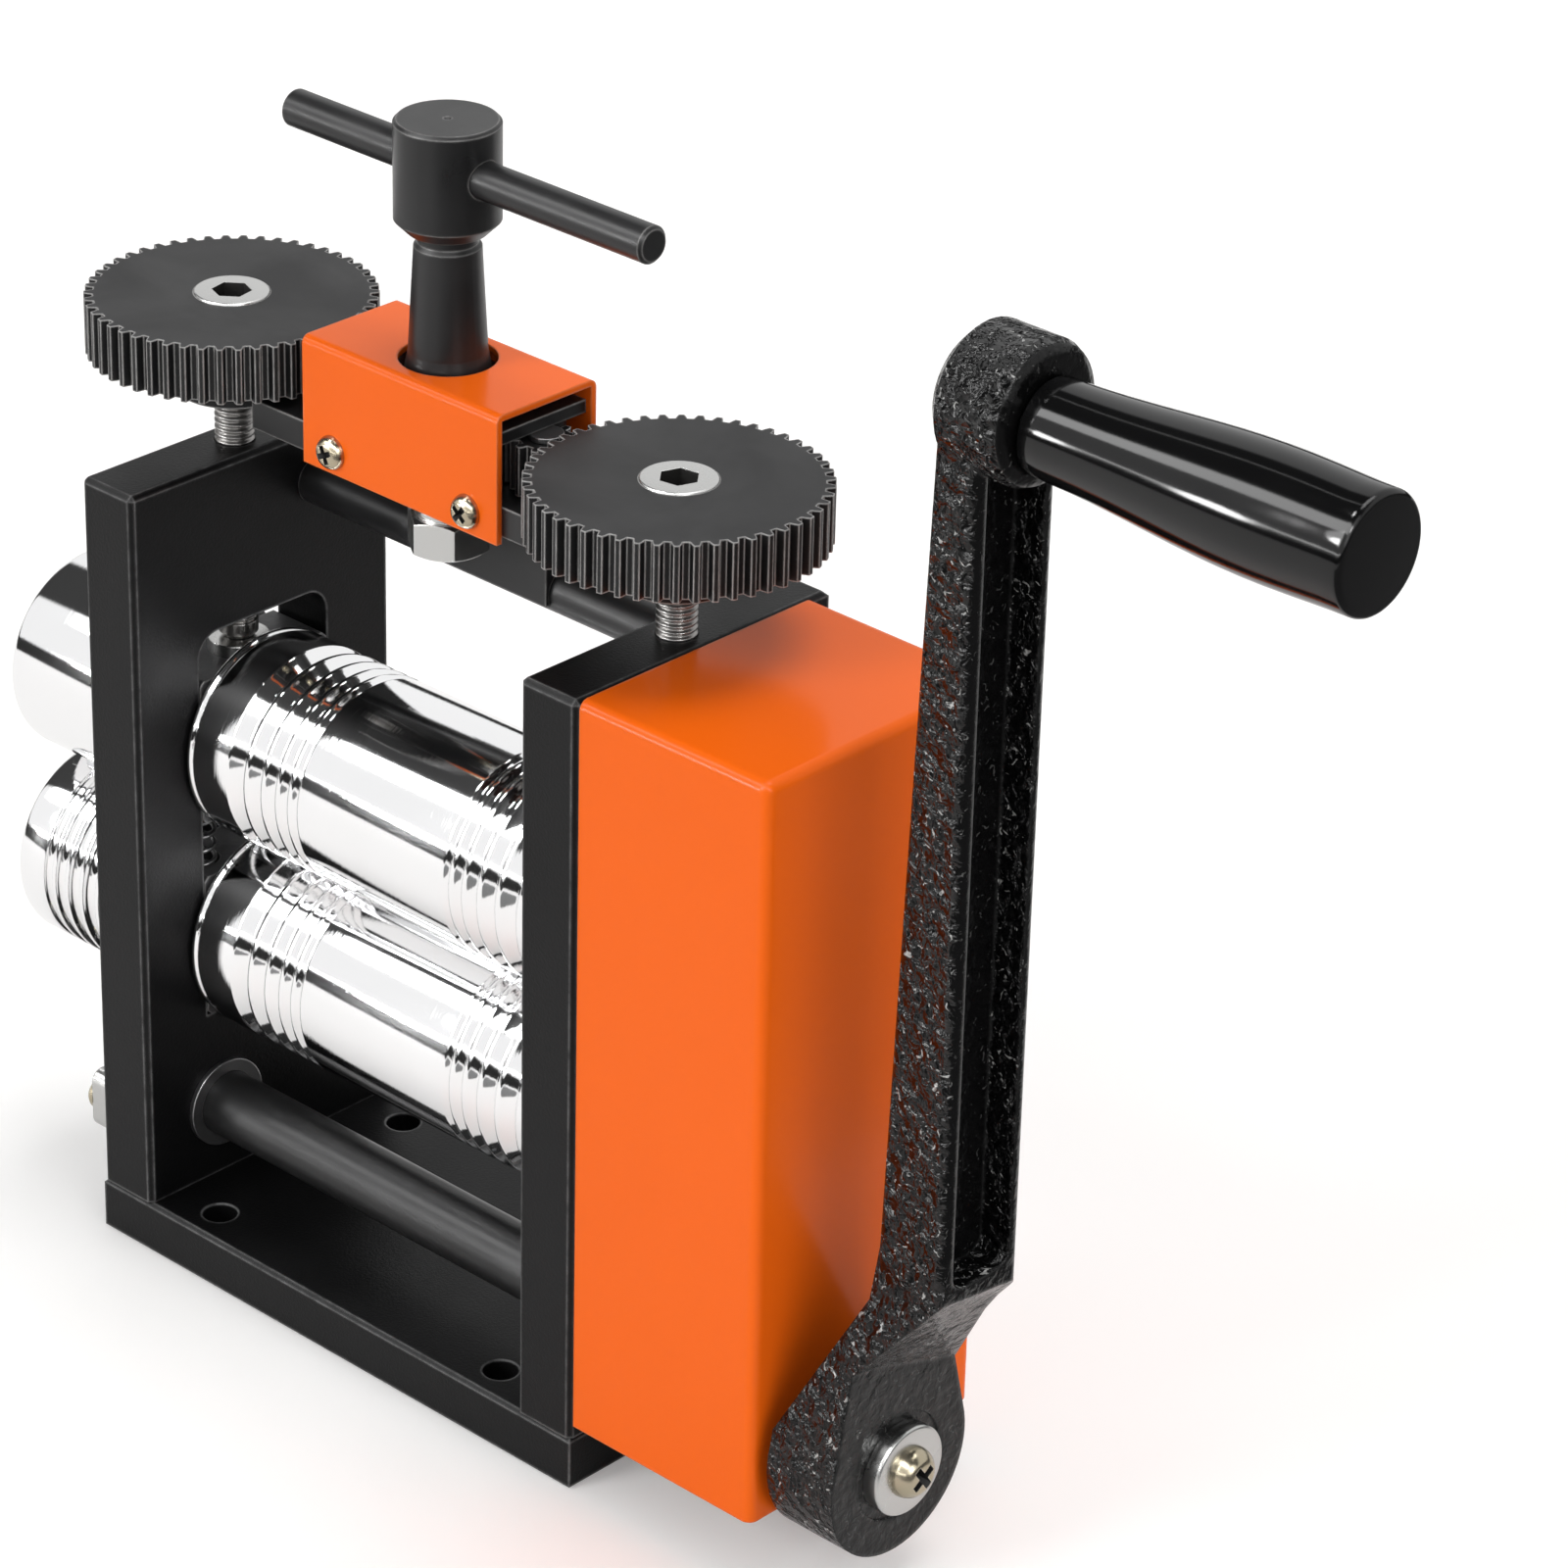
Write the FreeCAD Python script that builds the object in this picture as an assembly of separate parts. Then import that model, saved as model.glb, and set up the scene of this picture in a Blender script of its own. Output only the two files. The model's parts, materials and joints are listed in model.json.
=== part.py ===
import FreeCAD, Part
import math
import os

V = FreeCAD.Vector

# Jewellers rolling mill. Millimetres, +X to the crank side, +Y to the back, +Z up.
# Origin: underside of the base plate, midway between the side plates and on the rollers' plane.

# ---------------------------------------------------------------- driving dimensions
plate_gap = 80.6
plate_thickness = 11.0
plate_depth = 50.8
plate_height = 120.3
plate_bevel = 0.8

base_thickness = 8.3
base_bevel = 0.6
bench_hole_radius = 2.75
bench_hole_x = 31.0
bench_hole_y = 19.5

roller_radius = 16.4
roll_gap = 0.4
closed_gap = 0.1
opening_travel = 4.0
lower_axis_z = 49.0
journal_radius = 9.0
seat_radius = 7.5
seat_flat = 1.2
barrel_end_gap = 0.4
groove_band_start = 15.4
groove_widths = [1.4, 1.9, 2.4, 3.0, 3.6]
groove_land = 0.75
roller_edge = 0.8
extension_length = 28.0
round_groove_radii = [1.75, 1.6, 1.45, 1.3, 1.15, 1.0]
round_groove_land = 0.75

block_half_height = 12.0
window_half_width = 13.0
window_top_room = 5.6
window_corner = 4.0
spring_y = 8.5
spring_pocket_radius = 2.8
spring_pocket_depth = 3.0
spring_mean_radius = 2.0
spring_wire = 0.7
spring_turns = 6
pad_radius = 4.8
pad_thickness = 2.0

crank_offset_y = -9.9
crank_shaft_radius = 5.2
crank_length = 166.5
drive_module = 1.5
pinion_teeth = 14
wheel_teeth = 26
drive_addendum = 0.8 * drive_module
drive_face = 9.0
pair_teeth = 14
pair_face = 16.0
pair_addendum = 2.95
pair_dedendum = 3.25

case_end_room = 2.0
case_front_room = 1.9
case_back_room = 0.35
case_bottom_z = 10.4
case_wall = 1.2
case_round = 1.6

adjust_screw_radius = 3.0
adjust_thread_depth = 0.4
adjust_pitch = 1.0
adjust_gear_teeth = 50
inner_idler_teeth = 11
outer_idler_teeth = 11
handle_pinion_teeth = 14
adjust_gear_lift = 15.0
adjust_gear_face = 8.65
adjust_boss_radius = 8.5
adjust_boss_length = 6.5
adjust_spigot_radius = 4.0
cap_radius = 5.6
cap_proud = 0.3
cap_socket = 5.2
cap_socket_depth = 2.4
cap_turn_left = 10.0
cap_turn_right = 40.0

bridge_lift = 8.9
bridge_thickness = 4.6
bridge_half_length = 34.0
idler_face = 7.6
top_plate_thickness = 2.0
top_plate_end_gap = 0.9
pinion_cover_half_length = 19.95
pinion_cover_half_width = 9.8
pinion_cover_room = 3.2
pinion_cover_skirt = 1.1
pinion_cover_wall = 1.0
pinion_cover_round = 1.3
pinion_cover_hole_radius = 7.2
pinion_cover_screw_x = 13.9

tie_rod_radius = 3.75
tie_rod_y = 11.3
tie_rod_drop = 8.4
post_half_length = 13.0
post_foot_thickness = 4.2
post_leg_wall = 0.95
post_leg_grip = 1.5
post_screw_turn = 30.0

spindle_radius = 3.0
spindle_foot_radius = 6.3
spindle_low_radius = 5.75
spindle_top_radius = 4.9
hub_radius = 7.73
hub_lift = 19.4
hub_height = 16.7
handle_bar_radius = 2.8
handle_bar_left = 31.6
handle_bar_right = 40.3
handle_bar_drop = 7.15
nut_across_flats = 11.0
nut_height = 5.6
nut_collar_height = 1.1
nut_collar_radius = 4.8
nut_turn = 24.0

arm_hub_radius = 14.1
arm_hub_length = 12.3
arm_hub_gap = 2.4
arm_half_width = 8.15
arm_outset = 13.5
arm_low_thickness = 12.6
arm_high_thickness = 7.2
arm_web_rise = 32.0
arm_channel_rise = 37.3
arm_rim = 2.3
arm_edge_round = 1.7
arm_recess_depth = 5.2
arm_channel_round = 2.5
arm_boss_radius = 10.1
arm_boss_rise = 1.2
arm_boss_inset = 7.7
arm_boss_length = 12.3
arm_boss_round = 1.8
hub_recess_radius = 8.5
hub_recess_depth = 0.4

grip_length = 53.0
grip_root_radius = 6.8
grip_belly_radius = 8.75
grip_end_radius = 8.4
grip_spindle_radius = 3.5
grip_spindle_head = 4.6

# ---------------------------------------------------------------- named clearances
running = 0.04
sliding = 0.15
fixed_fit = 0.02
body_gap = 0.3
end_gap = 0.2
backlash = 0.12
stub = 0.62

# ---------------------------------------------------------------- fasteners
pan_head_radius = 2.6
pan_head_height = 1.7
pan_shank_radius = 1.5
pan_shank_length = 5.0
pan_slot = 0.7
base_screw_radius = 2.5
base_screw_head = 4.5
base_screw_length = 17.5
base_screw_front_y = -19.0
base_screw_back_y = 12.0
cap_head_radius = 3.4
cap_head_height = 4.0
cap_shank_radius = 2.0
cap_shank_depth = 10.0
end_screw_head = 4.6
end_screw_head_height = 2.2
end_screw_shank = 2.4
end_screw_depth = 12.0
end_washer_thickness = 1.5
crank_washer_radius = 7.0
crank_washer_thickness = 2.6

# ---------------------------------------------------------------- derived places
plate_inner = plate_gap / 2
plate_outer = plate_inner + plate_thickness
plate_top_z = base_thickness + plate_height
plate_mid = plate_inner + plate_thickness / 2
half_depth = plate_depth / 2

upper_axis_z = lower_axis_z + 2 * roller_radius + roll_gap
barrel_half = plate_inner - barrel_end_gap
shoulder_x = plate_outer + 1.2
block_half_width = window_half_width - sliding
lower_block_top_z = lower_axis_z + block_half_height
upper_block_bottom_z = upper_axis_z - block_half_height
upper_block_top_z = upper_axis_z + block_half_height
window_bottom_z = lower_axis_z - block_half_height
window_top_z = upper_block_top_z + pad_thickness + window_top_room

drive_centres = drive_module * (pinion_teeth + wheel_teeth) / 2
crank_axis_z = lower_axis_z - math.sqrt(drive_centres ** 2 - crank_offset_y ** 2)
pair_module = 2 * roller_radius / pair_teeth
drive_start_x = plate_outer + 1.5
drive_end_x = drive_start_x + drive_face
pair_start_x = drive_end_x + 2.0
pair_end_x = pair_start_x + pair_face
pinion_tip_radius = drive_module * pinion_teeth / 2 + drive_addendum
wheel_tip_radius = drive_module * wheel_teeth / 2 + drive_addendum
case_front_y = crank_offset_y - pinion_tip_radius - case_front_room - case_wall
case_back_y = wheel_tip_radius + case_back_room + case_wall
case_outer_x = pair_end_x + end_washer_thickness + end_screw_head_height + case_end_room + case_wall

adjust_gear_bottom_z = plate_top_z + adjust_gear_lift
adjust_gear_top_z = adjust_gear_bottom_z + adjust_gear_face
boss_bottom_z = adjust_gear_bottom_z - adjust_boss_length
train_teeth = handle_pinion_teeth + 2 * (inner_idler_teeth + outer_idler_teeth) + adjust_gear_teeth
adjust_module = 2 * plate_mid / train_teeth
inner_idler_x = adjust_module * (handle_pinion_teeth + inner_idler_teeth) / 2
outer_idler_x = inner_idler_x + adjust_module * (inner_idler_teeth + outer_idler_teeth) / 2
screw_tip_z = upper_block_top_z + pad_thickness + 0.1

bridge_bottom_z = plate_top_z + bridge_lift
bridge_top_z = bridge_bottom_z + bridge_thickness
bridge_half_width = pinion_cover_half_width - pinion_cover_wall
idler_bottom_z = bridge_top_z + body_gap
idler_top_z = idler_bottom_z + idler_face
top_plate_bottom_z = idler_top_z + 1.0
top_plate_top_z = top_plate_bottom_z + top_plate_thickness
pinion_cover_top_z = top_plate_top_z + pinion_cover_room
pinion_cover_bottom_z = bridge_bottom_z - pinion_cover_skirt
bridge_screw_z = bridge_bottom_z + bridge_thickness / 2

post_foot_bottom_z = bridge_bottom_z - post_foot_thickness
tie_rod_z = plate_top_z - tie_rod_drop
nut_top_z = post_foot_bottom_z - end_gap - nut_collar_height
nut_bottom_z = nut_top_z - nut_height
spindle_foot_z = top_plate_top_z + end_gap
hub_bottom_z = pinion_cover_top_z + hub_lift
hub_top_z = hub_bottom_z + hub_height
handle_bar_z = hub_top_z - handle_bar_drop

arm_hub_start_x = case_outer_x + arm_hub_gap
arm_hub_end_x = arm_hub_start_x + arm_hub_length
arm_seat_x = arm_hub_end_x - hub_recess_depth
grip_axis_z = crank_axis_z + crank_length
arm_outer_x = arm_hub_end_x + arm_outset
arm_web_z = crank_axis_z + arm_web_rise
arm_channel_z = crank_axis_z + arm_channel_rise
arm_boss_start_x = arm_outer_x - arm_boss_inset
arm_boss_end_x = arm_boss_start_x + arm_boss_length
grip_start_x = arm_boss_end_x + body_gap
grip_end_x = grip_start_x + grip_length


# ---------------------------------------------------------------- solids in general
def box(x0, x1, y0, y1, z0, z1):
    return Part.makeBox(x1 - x0, y1 - y0, z1 - z0, V(x0, y0, z0))


def rod_x(radius, x0, x1, y, z):
    return Part.makeCylinder(radius, x1 - x0, V(x0, y, z), V(1, 0, 0))


def rod_y(radius, y0, y1, x, z):
    return Part.makeCylinder(radius, y1 - y0, V(x, y0, z), V(0, 1, 0))


def rod_z(radius, z0, z1, x, y):
    return Part.makeCylinder(radius, z1 - z0, V(x, y, z0), V(0, 0, 1))


def cone_z(r0, r1, z0, z1, x, y):
    return Part.makeCone(r0, r1, z1 - z0, V(x, y, z0), V(0, 0, 1))


def closed_face(points):
    return Part.Face(Part.makePolygon(points + [points[0]]))


def turned_x(profile, y, z):
    """A turned piece: profile holds (x, radius) pairs, outside only."""
    points = [V(profile[0][0], 0, 0)] + [V(x, r, 0) for x, r in profile] + [V(profile[-1][0], 0, 0)]
    solid = closed_face(points).revolve(V(0, 0, 0), V(1, 0, 0), 360)
    solid.translate(V(0, y, z))
    return solid


def turned_z(profile, x, y):
    """A turned piece: profile holds (radius, z) pairs, outside only."""
    points = [V(0, 0, profile[0][1])] + [V(r, 0, z) for r, z in profile] + [V(0, 0, profile[-1][1])]
    solid = closed_face(points).revolve(V(0, 0, 0), V(0, 0, 1), 360)
    solid.translate(V(x, y, 0))
    return solid


def prism_along_x(outline, x0, x1):
    """Extrude an outline given in the (y, z) plane from x0 to x1."""
    return closed_face([V(x0, y, z) for y, z in outline]).extrude(V(x1 - x0, 0, 0))


def prism_along_y(outline, y0, y1):
    """Extrude an outline given in the (x, z) plane from y0 to y1."""
    return closed_face([V(x, y0, z) for x, z in outline]).extrude(V(0, y1 - y0, 0))


def hexagon_z(across_flats, z0, z1, x, y, turn):
    corner = across_flats / math.sqrt(3)
    points = []
    for k in range(6):
        angle = math.radians(turn + 60 * k)
        points.append(V(x + corner * math.cos(angle), y + corner * math.sin(angle), z0))
    return closed_face(points).extrude(V(0, 0, z1 - z0))


def group(solids):
    return Part.makeCompound(solids)


def save(name, shape):
    shape.exportStep("parts/" + name + ".step")


# ---------------------------------------------------------------- gears
def involute(angle):
    return math.tan(angle) - angle


def polar(radius, angle):
    return V(radius * math.cos(angle), radius * math.sin(angle), 0)


def arc_between(radius, a0, a1):
    return Part.Arc(polar(radius, a0), polar(radius, (a0 + a1) / 2), polar(radius, a1)).toShape()


def tooth_half_angle(radius, teeth, module):
    """Half of the tooth's angle at a radius, thinned by half of the backlash."""
    pitch_radius = module * teeth / 2
    base_radius = pitch_radius * math.cos(math.radians(20))
    tip_angle = math.acos(min(1.0, base_radius / radius))
    half = math.pi / (2 * teeth) + involute(math.radians(20)) - involute(tip_angle)
    return half - backlash / (2 * pitch_radius)


def gear_face(teeth, module, addendum, dedendum, first_tooth):
    """A spur gear's outline with involute flanks; first_tooth is a tooth's angle in degrees."""
    pitch_radius = module * teeth / 2
    tip = pitch_radius + addendum
    root = pitch_radius - dedendum
    step = 2 * math.pi / teeth
    radii = [root + (tip - root) * k / 5 for k in range(6)]
    halves = [tooth_half_angle(radius, teeth, module) for radius in radii]
    edges = []
    for tooth in range(teeth):
        centre = math.radians(first_tooth) + tooth * step
        rising = Part.BSplineCurve()
        rising.interpolate([polar(r, centre - h) for r, h in zip(radii, halves)])
        falling = Part.BSplineCurve()
        falling.interpolate([polar(r, centre + h) for r, h in zip(radii[::-1], halves[::-1])])
        edges.append(rising.toShape())
        edges.append(arc_between(tip, centre - halves[-1], centre + halves[-1]))
        edges.append(falling.toShape())
        edges.append(arc_between(root, centre + halves[0], centre + step - halves[0]))
    return Part.Face(Part.Wire(edges))


def meshing_tooth(first_tooth, teeth, mate_teeth, direction):
    """A tooth's angle on the mate that lies in this direction, in degrees."""
    ahead = first_tooth - direction
    return direction + 180 + 180 / mate_teeth - ahead * teeth / mate_teeth


def gear_along_z(face, z0, z1, x, y):
    solid = face.extrude(V(0, 0, z1 - z0))
    solid.translate(V(x, y, z0))
    return solid


def gear_along_x(face, x0, x1, y, z):
    """The face's own x and y become the frame's Y and Z."""
    solid = face.extrude(V(0, 0, x1 - x0))
    solid.rotate(V(0, 0, 0), V(1, 1, 1), 120)
    solid.translate(V(x0, y, z))
    return solid


def flatted_rod_x(radius, x0, x1, y, z, flat):
    """A round rod with one flat on top, as a gear or roller seat has."""
    keep = box(x0, x1, y - radius, y + radius, z - radius, z + radius - flat)
    return rod_x(radius, x0, x1, y, z).common(keep)


# ---------------------------------------------------------------- frame
def base_plate():
    plate = box(-plate_outer, plate_outer, -half_depth, half_depth, 0, base_thickness)
    long_edges = [e for e in plate.Edges if abs(e.BoundBox.ZMin - base_thickness) < 1e-6]
    plate = plate.makeChamfer(base_bevel, long_edges)
    for x in (-bench_hole_x, bench_hole_x):
        for y in (-bench_hole_y, bench_hole_y):
            plate = plate.cut(rod_z(bench_hole_radius, -1, base_thickness + 1, x, y))
    for x, y in base_screw_places():
        plate = plate.cut(base_screw(x, y, body_gap / 2))
    return plate


def base_screw_places():
    return [(x, y) for x in (-plate_mid, plate_mid) for y in (base_screw_front_y, base_screw_back_y)]


def base_screw(x, y, grown):
    """Countersunk screw from below; grown makes its hole instead."""
    head_z = 0.3
    cone_height = base_screw_head - base_screw_radius
    head = cone_z(base_screw_head + grown, base_screw_radius + grown, head_z, head_z + cone_height, x, y)
    shank = rod_z(base_screw_radius + grown, head_z, head_z + base_screw_length, x, y)
    screw = head.fuse(shank)
    if grown > 0:
        return screw.fuse(rod_z(base_screw_head + grown, -1, head_z, x, y))
    socket = hexagon_z(base_screw_radius, head_z - 1, head_z + 2, x, y, 0)
    return screw.cut(socket)


def side_plate(side):
    """side is -1 for the left plate and +1 for the right one."""
    x0 = min(side * plate_inner, side * plate_outer)
    x1 = max(side * plate_inner, side * plate_outer)
    plate = box(x0, x1, -half_depth, half_depth, base_thickness, plate_top_z)
    front_and_top = []
    for edge in plate.Edges:
        spot = edge.BoundBox
        is_front = spot.YMax < -half_depth + 1e-6 and spot.ZLength > 1
        is_top = spot.ZMin > plate_top_z - 1e-6
        if is_front or is_top:
            front_and_top.append(edge)
    plate = plate.makeChamfer(plate_bevel, front_and_top)
    window = box(x0 - 1, x1 + 1, -window_half_width, window_half_width, window_bottom_z, window_top_z)
    corners = [e for e in window.Edges if e.BoundBox.XLength > 1 and e.BoundBox.ZMin > window_bottom_z + 1]
    plate = plate.cut(window.makeFillet(window_corner, corners))
    bush_hole = crank_shaft_radius + bush_wall + fixed_fit
    plate = plate.cut(rod_x(bush_hole, x0 - 1, x1 + 1, crank_offset_y, crank_axis_z))
    plate = plate.cut(rod_x(cap_shank_radius + sliding, x0 - 1, x1 + 1, tie_rod_y, tie_rod_z))
    screw_hole = adjust_screw_radius + running
    plate = plate.cut(rod_z(screw_hole, window_top_z - 1, plate_top_z + 1, side * plate_mid, 0))
    for y in (base_screw_front_y, base_screw_back_y):
        plate = plate.cut(rod_z(base_screw_radius + body_gap / 2, 0, base_screw_length + 1, side * plate_mid, y))
    if side < 0:
        depth = pan_shank_length + 1
        hole = rod_x(pan_shank_radius + fixed_fit, -plate_outer - 1, -plate_outer + depth, keeper_screw_y, crank_axis_z)
        plate = plate.cut(hole)
    return plate


bush_wall = 1.1
bush_flange = 0.8
bush_flange_radius = crank_shaft_radius + bush_wall + 0.9


def crank_bush(side):
    """Flanged bush that carries the crank shaft, pressed in from between the plates."""
    inner = side * plate_inner
    face = side * (plate_inner - bush_flange)
    outer = side * plate_outer
    body = rod_x(crank_shaft_radius + bush_wall, min(inner, outer), max(inner, outer), crank_offset_y, crank_axis_z)
    flange = rod_x(bush_flange_radius, min(inner, face), max(inner, face), crank_offset_y, crank_axis_z)
    bore = rod_x(crank_shaft_radius + running, -plate_outer - 1, plate_outer + 1, crank_offset_y, crank_axis_z)
    return body.fuse(flange).cut(bore)


keeper_thickness = 3.4
keeper_depth = 1.2
keeper_half_height = 5.0
keeper_round = 2.0
keeper_front_y = -half_depth + 1.0
keeper_screw_y = keeper_front_y + 2.5


def shaft_keeper():
    """Flat keeper on the left plate; its edge sits in the shaft's groove."""
    edge_y = crank_offset_y - (crank_shaft_radius - keeper_depth) - body_gap
    keeper = box(-plate_outer - keeper_thickness, -plate_outer, keeper_front_y, edge_y,
                 crank_axis_z - keeper_half_height, crank_axis_z + keeper_half_height)
    upright = [e for e in keeper.Edges if e.BoundBox.XLength > 1 and e.BoundBox.YMax < keeper_screw_y]
    keeper = keeper.makeFillet(keeper_round, upright)
    hole = rod_x(pan_shank_radius + sliding, -plate_outer - 5, -plate_outer + 1, keeper_screw_y, crank_axis_z)
    return keeper.cut(hole)


def pan_screw(length):
    """Pan head screw with a cross recess, head on +Z and shank on -Z, seat at the origin."""
    dome = turned_z([(pan_head_radius, 0), (pan_head_radius, pan_head_height * 0.45),
                     (pan_head_radius * 0.86, pan_head_height * 0.8),
                     (pan_head_radius * 0.5, pan_head_height)], 0, 0)
    shank = rod_z(pan_shank_radius, -length, 0, 0, 0)
    arm = pan_head_radius * 0.6
    deep = pan_head_height * 0.45
    slot_a = box(-arm, arm, -pan_slot / 2, pan_slot / 2, deep, pan_head_height + 1)
    slot_b = box(-pan_slot / 2, pan_slot / 2, -arm, arm, deep, pan_head_height + 1)
    return dome.fuse(shank).cut(slot_a).cut(slot_b)


def pan_screw_at(place, outward, length, turn):
    screw = pan_screw(length)
    screw.rotate(V(0, 0, 0), V(0, 0, 1), turn)
    screw.Placement = FreeCAD.Placement(place, FreeCAD.Rotation(V(0, 0, 1), outward)).multiply(screw.Placement)
    return screw


def keeper_screw():
    seat = V(-plate_outer - keeper_thickness, keeper_screw_y, crank_axis_z)
    return pan_screw_at(seat, V(-1, 0, 0), keeper_thickness + pan_shank_length, 20)


def bearing_block(side, axis_z, spring_side):
    """spring_side is +1 where the spring pockets are in the top face, -1 in the bottom face."""
    x0 = min(side * plate_inner, side * plate_outer)
    x1 = max(side * plate_inner, side * plate_outer)
    block = box(x0, x1, -block_half_width, block_half_width,
                axis_z - block_half_height, axis_z + block_half_height)
    upright = [e for e in block.Edges if e.BoundBox.XLength > 1]
    block = block.makeChamfer(0.8, upright)
    block = block.cut(rod_x(journal_radius + running, x0 - 1, x1 + 1, 0, axis_z))
    face_z = axis_z + spring_side * block_half_height
    floor_z = face_z - spring_side * spring_pocket_depth
    for y in (-spring_y, spring_y):
        pocket = rod_z(spring_pocket_radius, min(face_z, floor_z), max(face_z, floor_z), side * plate_mid, y)
        block = block.cut(pocket)
    return block


def lift_springs():
    """Four coil springs that lift the upper blocks against the adjusting screws."""
    z0 = lower_block_top_z - spring_pocket_depth + spring_wire / 2 + 0.05
    z1 = upper_block_bottom_z + spring_pocket_depth - spring_wire / 2 - 0.05
    springs = []
    for side in (-1, 1):
        for y in (-spring_y, spring_y):
            path = Part.makeHelix((z1 - z0) / spring_turns, z1 - z0, spring_mean_radius)
            circle = Part.makeCircle(spring_wire / 2, V(spring_mean_radius, 0, 0), V(0, 1, 0))
            coil = Part.Wire(path).makePipeShell([Part.Wire(circle)], True, True)
            coil.translate(V(side * plate_mid, y, z0))
            springs.append(coil)
    return group(springs)


def thrust_pads():
    pads = []
    for side in (-1, 1):
        pads.append(rod_z(pad_radius, upper_block_top_z, upper_block_top_z + pad_thickness, side * plate_mid, 0))
    return group(pads)


def tie_rod():
    rod = rod_x(tie_rod_radius, -plate_inner, plate_inner, tie_rod_y, tie_rod_z)
    for side in (-1, 1):
        x0 = min(side * plate_inner, side * (plate_inner - cap_shank_depth - 1))
        x1 = max(side * plate_inner, side * (plate_inner - cap_shank_depth - 1))
        rod = rod.cut(rod_x(cap_shank_radius + fixed_fit, x0, x1, tie_rod_y, tie_rod_z))
    return rod


def tie_rod_screws():
    screws = []
    for side in (-1, 1):
        tip = side * (plate_inner - cap_shank_depth)
        seat = side * plate_outer
        crown = side * (plate_outer + cap_head_height)
        shank = rod_x(cap_shank_radius, min(tip, seat), max(tip, seat), tie_rod_y, tie_rod_z)
        head = rod_x(cap_head_radius, min(seat, crown), max(seat, crown), tie_rod_y, tie_rod_z)
        socket = hexagon_z(cap_shank_radius * 1.5, 0, cap_head_height, 0, 0, 0)
        socket.rotate(V(0, 0, 0), V(0, 1, 0), 90 * side)
        socket.translate(V(side * (plate_outer + cap_head_height * 0.5), tie_rod_y, tie_rod_z))
        screws.append(shank.fuse(head).cut(socket))
    return group(screws)


# ---------------------------------------------------------------- bridge and small gearbox
def bridge_bar():
    bar = box(-bridge_half_length, bridge_half_length, -bridge_half_width, bridge_half_width,
              bridge_bottom_z, bridge_top_z)
    corners = [e for e in bar.Edges if e.BoundBox.ZLength > 1]
    bar = bar.makeChamfer(2.0, corners)
    bar = bar.cut(rod_z(spindle_radius + running, bridge_bottom_z - 1, bridge_top_z + 1, 0, 0))
    for x in (-outer_idler_x, -inner_idler_x, inner_idler_x, outer_idler_x):
        bar = bar.cut(rod_z(stud_radius + fixed_fit, bridge_top_z - stud_depth, bridge_top_z + 1, x, 0))
    for x in (-post_screw_x, post_screw_x):
        bar = bar.cut(rod_z(pan_shank_radius + fixed_fit, bridge_bottom_z - 1, bridge_top_z - 1, x, post_screw_y))
    for place, outward in pinion_cover_screw_places():
        y0 = min(outward * bridge_half_width, outward * (bridge_half_width - pan_shank_length))
        y1 = max(outward * bridge_half_width, outward * (bridge_half_width - pan_shank_length))
        bar = bar.cut(rod_y(pan_shank_radius + fixed_fit, y0, y1, place, bridge_screw_z))
    return bar


stud_radius = 1.5
stud_depth = 3.0
stud_head_radius = 2.5
pillar_radius = 1.4
pillar_x = (inner_idler_x + outer_idler_x) / 2
pillar_y = 6.6
post_screw_x = 10.2
post_screw_y = 3.9


def bridge_post():
    """Angle piece that carries the bridge bar on the tie rod."""
    back_y = tie_rod_y + tie_rod_radius + post_leg_wall
    front_y = -4.0
    leg_front_y = nut_across_flats / math.sqrt(3) + 0.55
    skirt_z = pinion_cover_bottom_z - body_gap
    foot = box(-post_half_length, post_half_length, front_y, back_y, post_foot_bottom_z, skirt_z)
    seat = box(-post_half_length, post_half_length, front_y, bridge_half_width, skirt_z, bridge_bottom_z)
    leg = box(-post_half_length, post_half_length, leg_front_y, back_y,
              tie_rod_z - post_leg_grip, post_foot_bottom_z)
    post = foot.fuse(seat).fuse(leg).removeSplitter()
    post = post.cut(rod_x(tie_rod_radius + fixed_fit, -plate_inner, plate_inner, tie_rod_y, tie_rod_z))
    post = post.cut(rod_z(spindle_radius + body_gap, post_foot_bottom_z - 1, bridge_bottom_z + 1, 0, 0))
    for x in (-post_screw_x, post_screw_x):
        post = post.cut(rod_z(pan_shank_radius + sliding, post_foot_bottom_z - 1, bridge_bottom_z + 1, x, post_screw_y))
    return post


def bridge_post_screws():
    length = post_foot_thickness + bridge_thickness - 1.4
    screws = []
    for x in (-post_screw_x, post_screw_x):
        screws.append(pan_screw_at(V(x, post_screw_y, post_foot_bottom_z), V(0, 0, -1), length, post_screw_turn))
    return group(screws)


def top_plate():
    half_length = pinion_cover_half_length - top_plate_end_gap
    half_width = bridge_half_width - body_gap / 2
    plate = box(-half_length, half_length, -half_width, half_width, top_plate_bottom_z, top_plate_top_z)
    return plate.cut(rod_z(spindle_radius + running, top_plate_bottom_z - 1, top_plate_top_z + 1, 0, 0))


def gearbox_pillars():
    pillars = []
    for x in (-pillar_x, pillar_x):
        for y in (-pillar_y, pillar_y):
            pillars.append(rod_z(pillar_radius, bridge_top_z, top_plate_bottom_z, x, y))
    return group(pillars)


def idler_studs():
    studs = []
    for x in (-outer_idler_x, -inner_idler_x, inner_idler_x, outer_idler_x):
        shank = rod_z(stud_radius, bridge_top_z - stud_depth, idler_top_z + 0.1, x, 0)
        head = rod_z(stud_head_radius, idler_top_z + 0.1, top_plate_bottom_z - 0.1, x, 0)
        studs.append(shank.fuse(head))
    return group(studs)


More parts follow.
